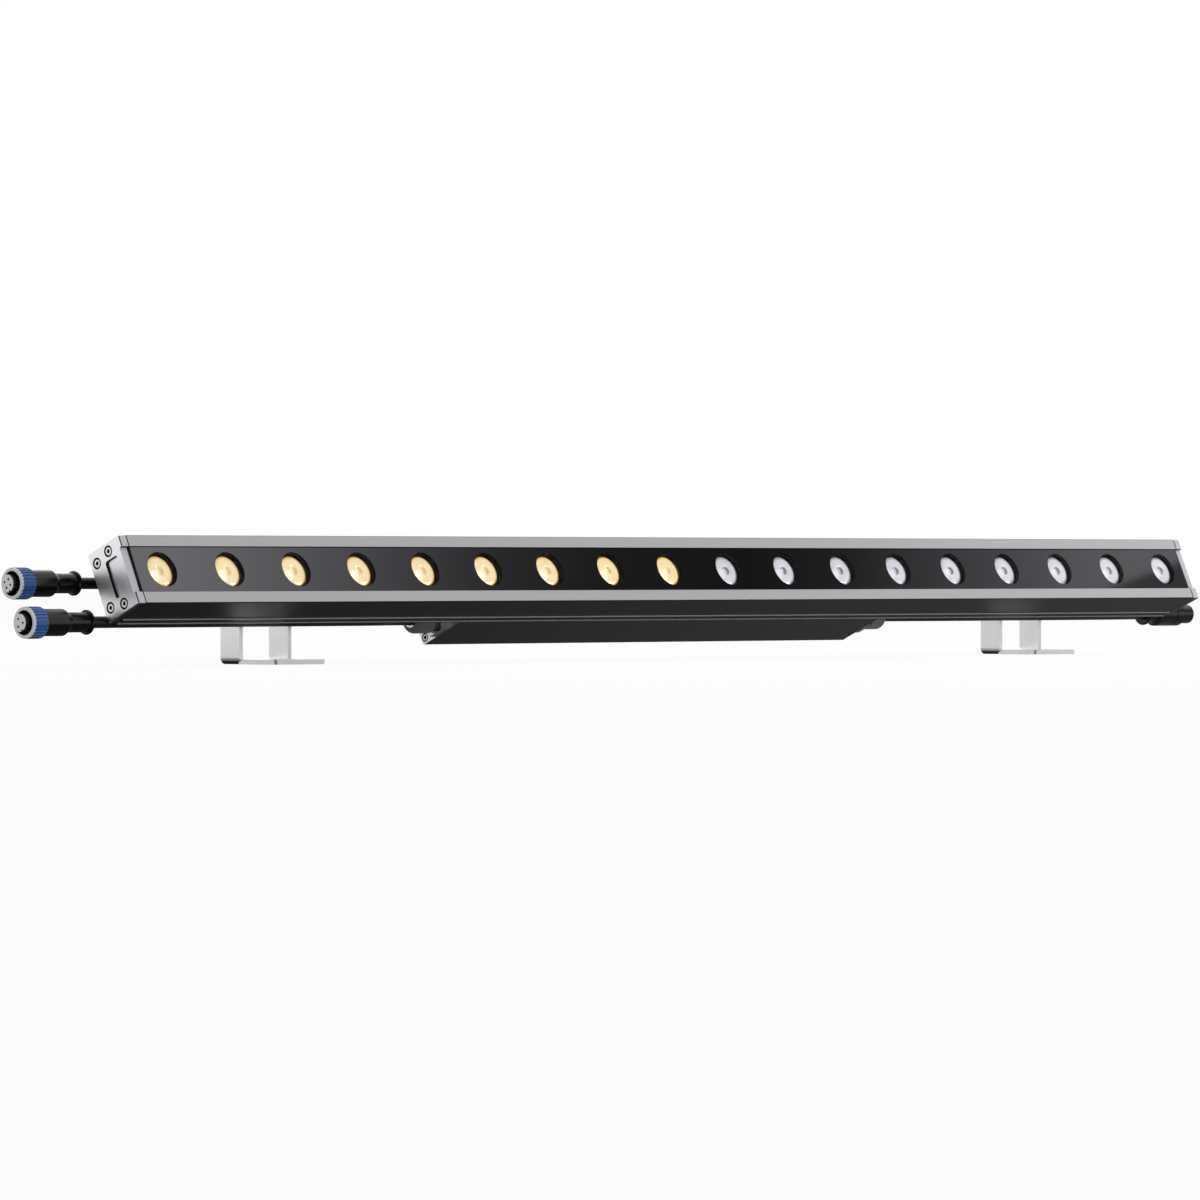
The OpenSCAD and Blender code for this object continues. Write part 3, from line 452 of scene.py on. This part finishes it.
lets_through = node_at(tree, "ShaderNodeBsdfTransparent", (50, -250))
either = node_at(tree, "ShaderNodeMixShader", (300, 0), {
    0: rays.outputs["Is Shadow Ray"],
    1: face.outputs["Shader"],
    2: lets_through.outputs["BSDF"],
})
feed(tree.nodes["Material Output"], {"Surface": either.outputs["Shader"]})
pane.data.materials.append(clear_glass)
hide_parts("front_glass")
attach(pane, "head")


# Mask and glass seal
# A matt black mask behind the glass with a round opening for each lamp, and the thin rubber
# seal that beds the glass on the ledges of the housing. All other seals are of the same rubber.
mask_black = finish_of("mask_black", colour_of(8), rough=0.7, scale=700, tone=0.2, bump=0.05,
                       relief=0.01)
dress(mask_black, "window_mask")
rubber = finish_of("black_rubber", colour_of(26), rough=0.62, scale=2600, tone=0.25, bump=0.35,
                   relief=0.04)
dress(rubber, "glass_gasket", "end_cap_gaskets", "driver_gaskets", "wire_grommet", "gland_seals")


# Lamp board
# One long aluminium-cored board with a white solder mask, held by small steel screws. Each lamp
# is a square chip under a dome: warm ones on the left half, cool ones on the right. The cups
# round them are black plastic, as are the clips of the leads.
board_white = finish_of("white_board", colour_of(232, 232, 228), rough=0.5, scale=900, tone=0.04,
                        bump=0.1, relief=0.02)
dress(board_white, "led_board")
warm_chip = finish_of("warm_chip", colour_of(245, 205, 90), rough=0.25, scale=3000, tone=0.12,
                      bump=0.05, relief=0.01)
dress(warm_chip, "warm_leds")
cool_chip = finish_of("cool_chip", colour_of(248, 240, 180), rough=0.25, scale=3000, tone=0.12,
                      bump=0.05, relief=0.01)
dress(cool_chip, "cool_leds")
steel = finish_of("steel", colour_of(190, 190, 192), rough=0.3, scale=2200, tone=0.1, bump=0.1,
                  relief=0.02, metallic=1)
dress(steel, "board_screws")
wire_red = finish_of("red_wire", colour_of(150, 30, 26), rough=0.45, scale=1500, tone=0.1, bump=0.1,
                     relief=0.02)
dress(wire_red, "board_wires")
cup_black = finish_of("black_plastic", colour_of(20, 20, 20), rough=0.5, scale=2400, tone=0.2,
                      bump=0.25, relief=0.03)
dress(cup_black, "lens_holders", "lead_clips")


# Lenses
# Clear moulded collimators, one over each chip, their rims on black cups. The front is a low
# dome with a dimple in the middle and a sloping rim; the cone behind lies in the cup.
lens_depth = 5.7
lens_profile = [
    (0, -0.5), (1.2, -0.55), (1.9, -0.7), (2.3, -1.0), (2.8, -1.8), (3.2, -2.05), (4.6, -2.0),
    (6.2, -1.92), (7.8, -1.8), (8.6, -1.7), (9.2, -1.55), (10.3, -1.3), (10.35, -1.0), (10.35, 1.5),
    (8.4, 2.4), (4.6, 10.1), (2.8, 10.1), (2.8, 7.2), (0, 7.0)
]
lens_segments = 48
lens_uv_width = 24
spot_edge = 4.4
spot_core = 2.2


def lens_mesh():
    """One lens about the origin, turned to the face; UV gives the place on its front."""
    shape = bmesh.new()
    place = shape.loops.layers.uv.new("UVMap")
    rings = []
    spots = {}
    for radius, depth in lens_profile:
        count = lens_segments if radius else 1
        ring = []
        for k in range(count):
            turn = 2 * math.pi * k / count
            across = radius * math.cos(turn)
            up = radius * math.sin(turn)
            vert = shape.verts.new((Vector((across, 0, 0)) + up * rise - depth * front) / 1000)
            spots[vert] = (0.5 + across / lens_uv_width, 0.5 + up / lens_uv_width)
            ring.append(vert)
        rings.append(ring)
    for inner, outer in zip(rings, rings[1:]):
        for k in range(lens_segments):
            m = (k + 1) % lens_segments
            if len(inner) == 1:
                shape.faces.new((inner[0], outer[k], outer[m]))
            elif len(outer) == 1:
                shape.faces.new((inner[k], outer[0], inner[m]))
            else:
                shape.faces.new((inner[k], outer[k], outer[m], inner[m]))
    for lens_face in shape.faces:
        lens_face.smooth = True
        for loop in lens_face.loops:
            loop[place].uv = spots[loop.vert]
    return closed_mesh("lens", shape)


def row_group():
    """Geometry group: copies of one object in a row along X, made real, with their material."""
    tree = new_group("row_of_like_pieces", "GeometryNodeTree", {
        "Geometry": "Geometry",
        "Piece": "Object",
        "Count": "Int",
        "Start": "Vector",
        "Step": "Vector",
        "Finish": "Material",
    }, {"Geometry": "Geometry"})
    given = node_at(tree, "NodeGroupInput", (-600, 0)).outputs
    line = node_at(tree, "GeometryNodeMeshLine", (-350, 100), {
        "Count": given["Count"],
        "Start Location": given["Start"],
        "Offset": given["Step"],
    })
    seed = node_at(tree, "GeometryNodeObjectInfo", (-350, -150), {"Object": given["Piece"]})
    copies = node_at(tree, "GeometryNodeInstanceOnPoints", (-100, 0), {
        "Points": line.outputs["Mesh"],
        "Instance": seed.outputs["Geometry"],
    })
    real = node_at(tree, "GeometryNodeRealizeInstances", (100, 0), {
        "Geometry": copies.outputs["Instances"],
    })
    painted = node_at(tree, "GeometryNodeSetMaterial", (300, 0), {
        "Geometry": real.outputs["Geometry"],
        "Material": given["Finish"],
    })
    node_at(tree, "NodeGroupOutput", (500, 0), {"Geometry": painted.outputs["Geometry"]})
    return tree


def made_plain(name, tree, **inputs):
    """Runs a geometry group with its named inputs and keeps the result as a plain mesh."""
    carrier = added(name + "_maker", bpy.data.meshes.new(name + "_maker"))
    maker = carrier.modifiers.new("maker", "NODES")
    maker.node_group = tree
    for item in tree.interface.items_tree:
        if item.in_out == "INPUT" and item.name in inputs:
            maker[item.identifier] = inputs[item.name]
    bpy.context.view_layer.update()
    ready = carrier.evaluated_get(bpy.context.evaluated_depsgraph_get())
    mesh = bpy.data.meshes.new_from_object(ready)
    mesh.name = name
    carrier.modifiers.remove(maker)
    bpy.data.objects.remove(carrier)
    return added(name, mesh)


def ramp_at(tree, place, factor, stops, label=""):
    """Colour of a ramp through its stops, each given by a position and a colour."""
    made = node_at(tree, "ShaderNodeValToRGB", place, {0: factor}, label=label)
    elements = made.color_ramp.elements
    while len(elements) < len(stops):
        elements.new(0.5)
    for element, (position, tone) in zip(elements, stops):
        element.position = position
        element.color = (*tone, 1)
    return made.outputs["Color"]


def lens_finish(name, colour, tint_and_shade, glow, spot, highlight_emission):
    """Moulded lens seen through the glass: painted shade by radius, painted glow and highlight spot.
    """
    made = finish_of(name, colour, rough=0.16, scale=1200, tone=0.03, bump=0.05, relief=0.02,
                     swing=0.03)
    tree = made.node_tree
    shader = shader_of(made)
    place = node_at(tree, "ShaderNodeTexCoord", (-1500, 700)).outputs["UV"]
    centred = vectors(tree, "SUBTRACT", (-1300, 700), place, (0.5, 0.5, 0))
    reach = vectors(tree, "LENGTH", (-1100, 700), centred)
    stops = [(radius / lens_uv_width, tone) for radius, tone in tint_and_shade]
    radius_tint_and_shade = ramp_at(tree, (-900, 700), reach, stops, "painted shade by radius")
    # A painted highlight spot, laid on as emission.
    bright = node_at(tree, "ShaderNodeMapRange", (-900, 950), {
        "Value": vectors(tree, "DISTANCE", (-1100, 950), place, spot),
        "From Min": spot_edge / lens_uv_width,
        "From Max": spot_core / lens_uv_width,
    }, interpolation_type="SMOOTHSTEP")
    painted_light = node_at(tree, "ShaderNodeMix", (-500, 950), {
        0: bright.outputs["Result"],
        6: glow,
        7: highlight_emission,
    }, data_type="RGBA", label="glow")
    base = shader.inputs["Base Color"].links[0].from_socket
    for source, socket in ((base, "Base Color"), (painted_light.outputs[2], "Emission Color")):
        toned = node_at(tree, "ShaderNodeMix", (-250, 700), {
            0: 1,
            6: source,
            7: radius_tint_and_shade,
        }, data_type="RGBA", blend_type="MULTIPLY")
        feed(shader, {socket: toned.outputs[2]})
    # The emission is painted: a glow over the face and a highlight spot.
    feed(shader, {"Coat Weight": 0.3, "Emission Strength": 1})
    return made


def grey(level):
    """Tone without a hue."""
    return (level, level, level)


# Painted shade on each rim, darkest at its edge, and round the cool dimple; warm rims also brown.
warm_tint_and_shade = [
    (0, grey(1)), (2.7, grey(1)), (3.2, grey(0.92)), (8.6, grey(0.92)), (9.0, (0.84, 0.74, 0.55)),
    (9.7, (0.8, 0.62, 0.34)), (10.0, (0.42, 0.2, 0.06)), (10.4, (0.12, 0.05, 0.02))
]
cool_ring_shade = [
    (0, grey(1)), (1.9, grey(0.95)), (2.2, grey(0.55)), (2.7, grey(0.6)), (3.1, grey(1)),
    (8.4, grey(1)), (8.8, grey(0.62)), (9.6, grey(0.7)), (10.0, grey(0.4)), (10.4, grey(0.08))
]
# Each lens gets a painted glow and a painted highlight spot low at its left.
warm_clear = lens_finish("warm_lens", colour_of(238, 218, 170), warm_tint_and_shade,
                         glow=(0.27, 0.215, 0.105, 1), spot=(0.285, 0.37, 0),
                         highlight_emission=(0.75, 0.7, 0.5, 1))
cool_clear = lens_finish("cool_lens", colour_of(208, 207, 213), cool_ring_shade,
                         glow=(0.06, 0.06, 0.064, 1), spot=(0.28, 0.4, 0),
                         highlight_emission=(0.2, 0.2, 0.21, 1))
in_a_row = row_group()
lens_seed = added("lens_seed", lens_mesh())
for tone, finish, first in (("warm", warm_clear, 0), ("cool", cool_clear, lamp_count // 2)):
    start = at((first + 0.5) * lamp_step - light_length / 2, lens_depth, 0)
    step = (lamp_step / 1000, 0, 0)
    lenses = made_plain(tone + "_lens_row", in_a_row, Piece=lens_seed, Count=lamp_count // 2,
                        Start=start, Step=step, Finish=finish)
    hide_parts(tone + "_lenses")
    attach(lenses, "head")
bpy.data.objects.remove(lens_seed)


# End caps
# Cast aluminium caps, fine ground over their faces, on black rubber sheets. Four socket screws
# hold each one. The shallow pocket is left bare. Painted shade blackens its walls and the screws'
# sinks, and darkens the edge between front and end and the faces underneath.
left = Vector((-1, 0, 0))
cap_screws = [(12.4, -17.2), (12.4, 17.2), (24.5, -14.6), (24.5, 14.6)]
# Reaches of painted shade round each screw: past its sink on the cap, inside its crown on the screw.
cap_sink = 3.6
cap_crown = 2.35
screw_socket = 1.3
pocket_depth = 16
pocket_half_depth = 12.5
pocket_half_height = 21


def near_axes(material, places, reach):
    """Mask that is 1 within reach of lines along X, each given by its depth and height."""
    tree = material.node_tree
    where = node_at(tree, "ShaderNodeTexCoord", (-1700, 900))
    flat = vectors(tree, "MULTIPLY", (-1500, 900), where.outputs["Object"], (0, 1, 1))
    nearest = None
    for depth, height in places:
        gap = vectors(tree, "DISTANCE", (-1300, 900), flat, at(0, depth, height))
        nearest = gap if nearest is None else maths(tree, "MINIMUM", (-1100, 900), nearest, gap)
    return maths(tree, "LESS_THAN", (-900, 900), nearest, reach / 1000)


def ground_metal(name, screws, sink):
    """Ground aluminium, satin in front; its black and dark parts are painted shade."""
    made = finish_of(name, colour_of(216, 217, 219), rough=0.34, scale=2600, tone=0.1, bump=0.2,
                     relief=0.03, metallic=1)
    # The pocket's walls, painted black as shade.
    wall_shade = all_of(
        made,
        band(made, "Normal", left, 0, 0.5),
        band(made, "Object", front, at(0, pocket_depth, 0).dot(front), pocket_half_depth / 1000),
        band(made, "Object", rise, at(0, 0, 0).dot(rise), pocket_half_height / 1000),
    )
    # Painted shade: dark on the front-to-end edge and underneath, black in pocket walls and sinks.
    edge = (front + left).normalized()
    for mask, label, colour, metallic in (
            (facing_mask(made, front, *front_facing), "satin front", colour_of(184, 184, 188), 0.12),
            (facing_mask(made, edge, 0.93, 0.97), "painted shade on edge", colour_of(30), 0),
            (facing_mask(made, -rise, 0.9, 0.97), "painted shade underside", colour_of(34), 0.4),
            (wall_shade, "painted shade in pocket walls", colour_of(12), 0),
            (near_axes(made, screws, sink), "painted shade in sinks", colour_of(12), 0)):
        overlay(made, mask, label, colour, metallic)
    return made


def screw_finish(name, screws, crown):
    """Socket screws: steel grey on the crown, painted shade black round it and in the socket."""
    # Painted shade: the black base round the crown.
    made = finish_of(name, colour_of(10), rough=0.28, scale=2200, tone=0.1, bump=0.1, relief=0.02)
    overlay(made, near_axes(made, screws, crown), "bright crown", colour_of(200, 200, 202), 1)
    overlay(made, near_axes(made, screws, screw_socket), "socket painted shade", colour_of(8), 0)
    return made


dress(ground_metal("cap_aluminium", cap_screws, cap_sink), "end_cap_left", "end_cap_right")
dress(screw_finish("end_cap_screws_steel", cap_screws, cap_crown), "end_cap_screws")


# Driver box
# A second aluminium extrusion behind the housing, its dark grey painted shade, closed by ground
# end plates, with the power board, its transformer and its capacitors inside and hammer-head bolts
# to the tee slot.
plate_screws = [(36.7, -17.8), (36.7, 14.8), (66.3, -17.8), (66.3, 14.8)]
plate_sink = 2.8
plate_crown = 1.9
# The plates carry the same painted shade as the caps.
plate_metal = ground_metal("plate_aluminium", plate_screws, plate_sink)
dress(plate_metal, "driver_end_plate_left", "driver_end_plate_right")
dress(screw_finish("driver_end_screws_steel", plate_screws, plate_crown), "driver_end_screws")
# The case's dark grey is painted shade.
case_shaded = finish_of("driver_case_painted_shade", colour_of(64, 64, 66), rough=0.4, scale=2200, tone=0.1,
                      bump=0.12, relief=0.02, metallic=1, grain=drawn_lines)
dress(case_shaded, "driver_case")
board_green = finish_of("green_board", colour_of(20, 90, 50), rough=0.4, scale=800, tone=0.12,
                        bump=0.1, relief=0.02)
dress(board_green, "driver_board")
taped = finish_of("transformer", colour_of(196, 160, 70), rough=0.5, scale=900, tone=0.12, bump=0.2,
                  relief=0.04)
dress(taped, "driver_transformer")
sleeved = finish_of("capacitor", colour_of(38, 42, 92), rough=0.35, scale=900, tone=0.1, bump=0.1,
                    relief=0.02)
dress(sleeved, "driver_capacitors")
dress(steel, "driver_tee_bolts", "driver_tee_nuts")


# Cable glands
# Nickel-plated brass, one for each lead: a hexagon and neck in the end plate, and a domed nut
# over the seal.
nickel = finish_of("nickel", colour_of(168, 166, 163), rough=0.09, scale=1800, tone=0.06, bump=0.05,
                   relief=0.01, metallic=1, swing=0.04)
dress(nickel, "gland_bodies", "gland_nuts")


# Leads
# Four round leads in black sheaths, from the glands to the clips behind the housing and on to
# the plugs at the left and the sockets at the right.
sheath = finish_of("lead_black", colour_of(20, 20, 21), rough=0.42, scale=900, tone=0.2, bump=0.12,
                   relief=0.03)
dress(sheath, "power_in_lead", "data_in_lead", "power_out_lead", "data_out_lead")


# Plugs and sockets
# Black moulded connectors. The plugs have an insert with a light grey face, and a navy coupling
# nut with grip flutes, a light grey ring in front and painted shade, black, in its bore.
moulded = finish_of("connector_black", colour_of(11, 11, 12), rough=0.22, scale=2000, tone=0.2,
                    bump=0.1, relief=0.015)
feed(shader_of(moulded), {"Specular IOR Level": 0.35})
dress(moulded, "power_in_plug", "data_in_plug", "power_out_socket", "data_out_socket")
insert_grey = finish_of("insert_grey", colour_of(16), rough=0.45, scale=1500, tone=0.05, bump=0.1,
                        relief=0.02)
overlay(insert_grey, facing_mask(insert_grey, left, 0.8, 0.95), "light face", colour_of(206, 207, 208))
dress(insert_grey, "power_in_insert", "data_in_insert")
gold = finish_of("pin_brass", colour_of(226, 190, 110), rough=0.25, scale=2500, tone=0.05, bump=0.05,
                 relief=0.01, metallic=1)
dress(gold, "power_out_pins", "data_out_pins")
nut_ring = 1.5
nut_bore = 7.6
for name, nut_front in (("power_in_nut", (-563, 34.15, -19.7)), ("data_in_nut", (-553, 45, 10.8))):
    navy = finish_of(name + "_navy", colour_of(38, 84, 142), rough=0.24, scale=1800, tone=0.12,
                     bump=0.1, relief=0.015)
    tree = navy.node_tree
    where = node_at(tree, "ShaderNodeTexCoord", (-1500, 600))
    split = node_at(tree, "ShaderNodeSeparateXYZ", (-1300, 600), {0: where.outputs["Object"]})
    ring_end = at(*nut_front).x + nut_ring / 1000
    ring = maths(tree, "LESS_THAN", (-1100, 700), split.outputs["X"], ring_end)
    overlay(navy, ring, "light grey ring", colour_of(205, 207, 210))
    # Painted shade: the bore in black.
    overlay(navy, near_axes(navy, [nut_front[1:]], nut_bore), "bore painted shade", colour_of(16, 16, 18))
    dress(navy, name)


# Knuckles
# Cast aluminium blocks with two ears, blasted and left bare. Two screws clamp each one to a
# sliding nut in the tee slot.
blasted = finish_of("cast_aluminium", colour_of(160, 160, 162), rough=0.5, scale=1800, tone=0.12,
                    bump=0.35, relief=0.05, metallic=1)
dress(blasted, "knuckle_left", "knuckle_right")
dress(steel, "channel_nut_left", "channel_nut_right", "knuckle_screws_left", "knuckle_screws_right")


# Brackets
# Satin stainless sheet, bent to a foot and two legs, with painted shade under its bends. A bolt,
# nut and friction washers sit at the tilt axis.
upward = Vector((0, 0, 1))
satin = finish_of("bracket_steel", colour_of(246, 246, 247), rough=0.4, scale=2000, tone=0.06,
                  bump=0.12, relief=0.02, metallic=0.8)
# Painted shade on the downward curve of each bend.
shade_under_bend = all_of(
    satin,
    facing_mask(satin, -upward, 0.25, 0.6),
    facing_mask(satin, upward, -0.995, -0.97),
)
overlay(satin, shade_under_bend, "painted shade under the bend", colour_of(16), 0.2)
dress(satin, "bracket_left", "bracket_right")
dress(steel, "pivot_bolt_left", "pivot_bolt_right", "pivot_nut_left", "pivot_nut_right")
washer_grey = finish_of("friction_grey", colour_of(110, 110, 112), rough=0.6, scale=2400, tone=0.2,
                        bump=0.2, relief=0.03)
dress(washer_grey, "pivot_washers_left", "pivot_washers_right")


# Floor
# A plain pale floor. The camera, metal and glass see it nearly white, and it keeps a faint shadow.
floor_white_share = 0.93
to_right = Vector((1, 0, 0))
to_back = Vector((0, 1, 0))


def card(name, centre, across, up, half_across, half_up):
    """Flat card with its own axes, for the floor and the studio cards."""
    mesh = bpy.data.meshes.new(name)
    corners = [(-half_across, -half_up, 0), (half_across, -half_up, 0), (half_across, half_up, 0),
               (-half_across, half_up, 0)]
    mesh.from_pydata(corners, [], [(0, 1, 2, 3)])
    made = added(name, mesh)
    axes = Matrix((across, up, across.cross(up))).transposed().to_4x4()
    made.matrix_world = Matrix.Translation(centre) @ axes
    return made


def seen_plainly(tree):
    """Mask that is 1 for rays of the camera and for those that metal and glass send on."""
    rays = node_at(tree, "ShaderNodeLightPath", (-600, 400)).outputs
    seen = maths(tree, "MAXIMUM", (-400, 400), rays["Is Camera Ray"], rays["Is Glossy Ray"])
    return maths(tree, "MAXIMUM", (-200, 400), seen, rays["Is Transmission Ray"])


floor = card("floor", Vector((0, 0, -0.0002)), to_right, to_back, half_across=15, half_up=15)
pale, tree, shader = new_material("pale_floor")
feed(shader, {"Base Color": (0.82, 0.82, 0.82, 1), "Roughness": 0.9, "Specular IOR Level": 0.1})
white = node_at(tree, "ShaderNodeEmission", (0, -300), {"Strength": 1})
blend = node_at(tree, "ShaderNodeMixShader", (250, 0), {
    0: maths(tree, "MULTIPLY", (0, 400), seen_plainly(tree), floor_white_share),
    1: shader.outputs["BSDF"],
    2: white.outputs["Emission"],
})
feed(tree.nodes["Material Output"], {"Surface": blend.outputs["Shader"]})
floor.data.materials.append(pale)


# Studio cards
# A graded card above and to the right gives the glass its sheen, pale at both ends. A dark card
# stands on the camera's side, and one lies on the floor, darkest at the left. Only reflections
# and rays through glass see them.
def stage_material(name):
    """New material of a card: its tree and the glow that is its only shader."""
    made, tree, shader = new_material(name)
    tree.nodes.remove(shader)
    glow = node_at(tree, "ShaderNodeEmission", (200, 0), {"Strength": 1})
    feed(tree.nodes["Material Output"], {"Surface": glow.outputs["Emission"]})
    return made, tree, glow


def only_reflected(made, material):
    """Gives a card its material and hides it from the camera and from plain light."""
    made.data.materials.append(material)
    made.visible_camera = False
    made.visible_diffuse = False
    made.visible_shadow = False
    made.visible_volume_scatter = False


graded_half = 0.62
graded_centre = Vector((0.74467, -0.518485, 0.626675))
graded_along = Vector((0.6894, 0.4631, -0.5569)).normalized()
graded_up = Vector((0.0139, 0.7603, 0.6493))
graded_up = (graded_up - graded_up.dot(graded_along) * graded_along).normalized()
sheen_tint = (0.995, 0.985, 1.05)
sheen_levels = [
    (-0.60, 1.2), (-0.38, 1.2), (-0.28, 0.75), (-0.196, 0.40), (-0.12, 0.17), (-0.036, 0.07),
    (0.08, 0.04), (0.16, 0.09), (0.283, 0.42), (0.36, 0.72), (0.60, 0.95)
]
edge_slope = 0.4
edge_x = 0.372
edge_y = 0.0062
edge_soft = 0.004
below_edge = 0.3
graded = card("graded_card", graded_centre, graded_along, graded_up, graded_half, half_up=0.2)
graded_finish, tree, glow = stage_material("graded_card")
where = node_at(tree, "ShaderNodeTexCoord", (-900, 0))
split = node_at(tree, "ShaderNodeSeparateXYZ", (-700, 0), {0: where.outputs["Object"]})
run = node_at(tree, "ShaderNodeMapRange", (-500, 0), {
    "Value": split.outputs["X"],
    "From Min": -graded_half,
    "From Max": graded_half,
})
stops = [((place + graded_half) / (2 * graded_half), [share * level for share in sheen_tint])
         for place, level in sheen_levels]
sheen = ramp_at(tree, (-250, 0), run.outputs["Result"], stops)
slant = maths(tree, "MULTIPLY_ADD", (-500, -300), split.outputs["X"], -edge_slope,
              edge_slope * edge_x + edge_y)
above = node_at(tree, "ShaderNodeMapRange", (-100, -300), {
    "Value": maths(tree, "ADD", (-300, -300), split.outputs["Y"], slant),
    "From Min": -edge_soft,
    "From Max": edge_soft,
    "To Min": below_edge,
    "To Max": 1,
}, interpolation_type="SMOOTHSTEP")
right_end = node_at(tree, "ShaderNodeMapRange", (-100, -600), {
    "Value": split.outputs["X"],
    "From Min": 0.31,
    "From Max": 0.36,
}, interpolation_type="SMOOTHSTEP")
strength = node_at(tree, "ShaderNodeMix", (50, -400), {
    0: right_end.outputs["Result"],
    2: 1,
    3: above.outputs["Result"],
}, data_type="FLOAT")
feed(glow, {"Color": sheen, "Strength": strength.outputs[0]})
only_reflected(graded, graded_finish)

flag_centre = Vector((-4.3, -4.1, 5.4))
flag_along = Vector((0.694, -0.72, 0))
flag = card("camera_flag", flag_centre, flag_along, upward, half_across=7, half_up=5.6)
flag_finish, tree, glow = stage_material("camera_flag")
feed(glow, {"Color": (0.03, 0.03, 0.03, 1)})
only_reflected(flag, flag_finish)

dark_centre = Vector((0.3, 0.33, -0.0001))
dark_floor = card("dark_floor", dark_centre, to_right, to_back, half_across=0.92, half_up=0.45)
dark_finish, tree, glow = stage_material("dark_floor")
where = node_at(tree, "ShaderNodeTexCoord", (-700, 0))
split = node_at(tree, "ShaderNodeSeparateXYZ", (-500, 0), {0: where.outputs["Object"]})
run = node_at(tree, "ShaderNodeMapRange", (-300, 0), {
    "Value": split.outputs["X"],
    "From Min": -0.8,
    "From Max": 0.3,
    "To Min": 0.075,
    "To Max": 0.26,
})
feed(glow, {"Strength": run.outputs["Result"]})
only_reflected(dark_floor, dark_finish)


# Lights
# Even light from a pale room, with soft lamps at the right, behind and, weakly, at the left end.
# The one at the right, the key, shows in no reflection.
room_light = 0.62
lamps = (
    ("key", (2.1, -1.5, 1.1), 1.2, 42),
    ("back", (1.2, 2.4, 2.2), 1.8, 26),
    ("left", (-2.0, 1.9, 0.5), 1.2, 2),
)
world = bpy.data.worlds.new("pale_room")
scene.world = world
world.use_nodes = True
tree = world.node_tree
plain = tree.nodes["Background"]
feed(plain, {"Color": (1, 1, 1, 1), "Strength": room_light})
white = node_at(tree, "ShaderNodeBackground", (0, -200), {"Color": (1, 1, 1, 1), "Strength": 1})
chosen = node_at(tree, "ShaderNodeMixShader", (200, 0), {
    0: seen_plainly(tree),
    1: plain.outputs["Background"],
    2: white.outputs["Background"],
})
feed(tree.nodes["World Output"], {"Surface": chosen.outputs["Shader"]})
for name, place, width, power in lamps:
    lamp = added(name + "_lamp", bpy.data.lights.new(name + "_lamp", "AREA"))
    lamp.data.shape = "DISK"
    lamp.data.size = width
    lamp.data.energy = power
    lamp.visible_glossy = name != "key"
    lamp.location = place
    lamp.rotation_euler = (-Vector(place)).to_track_quat("-Z", "Y").to_euler()
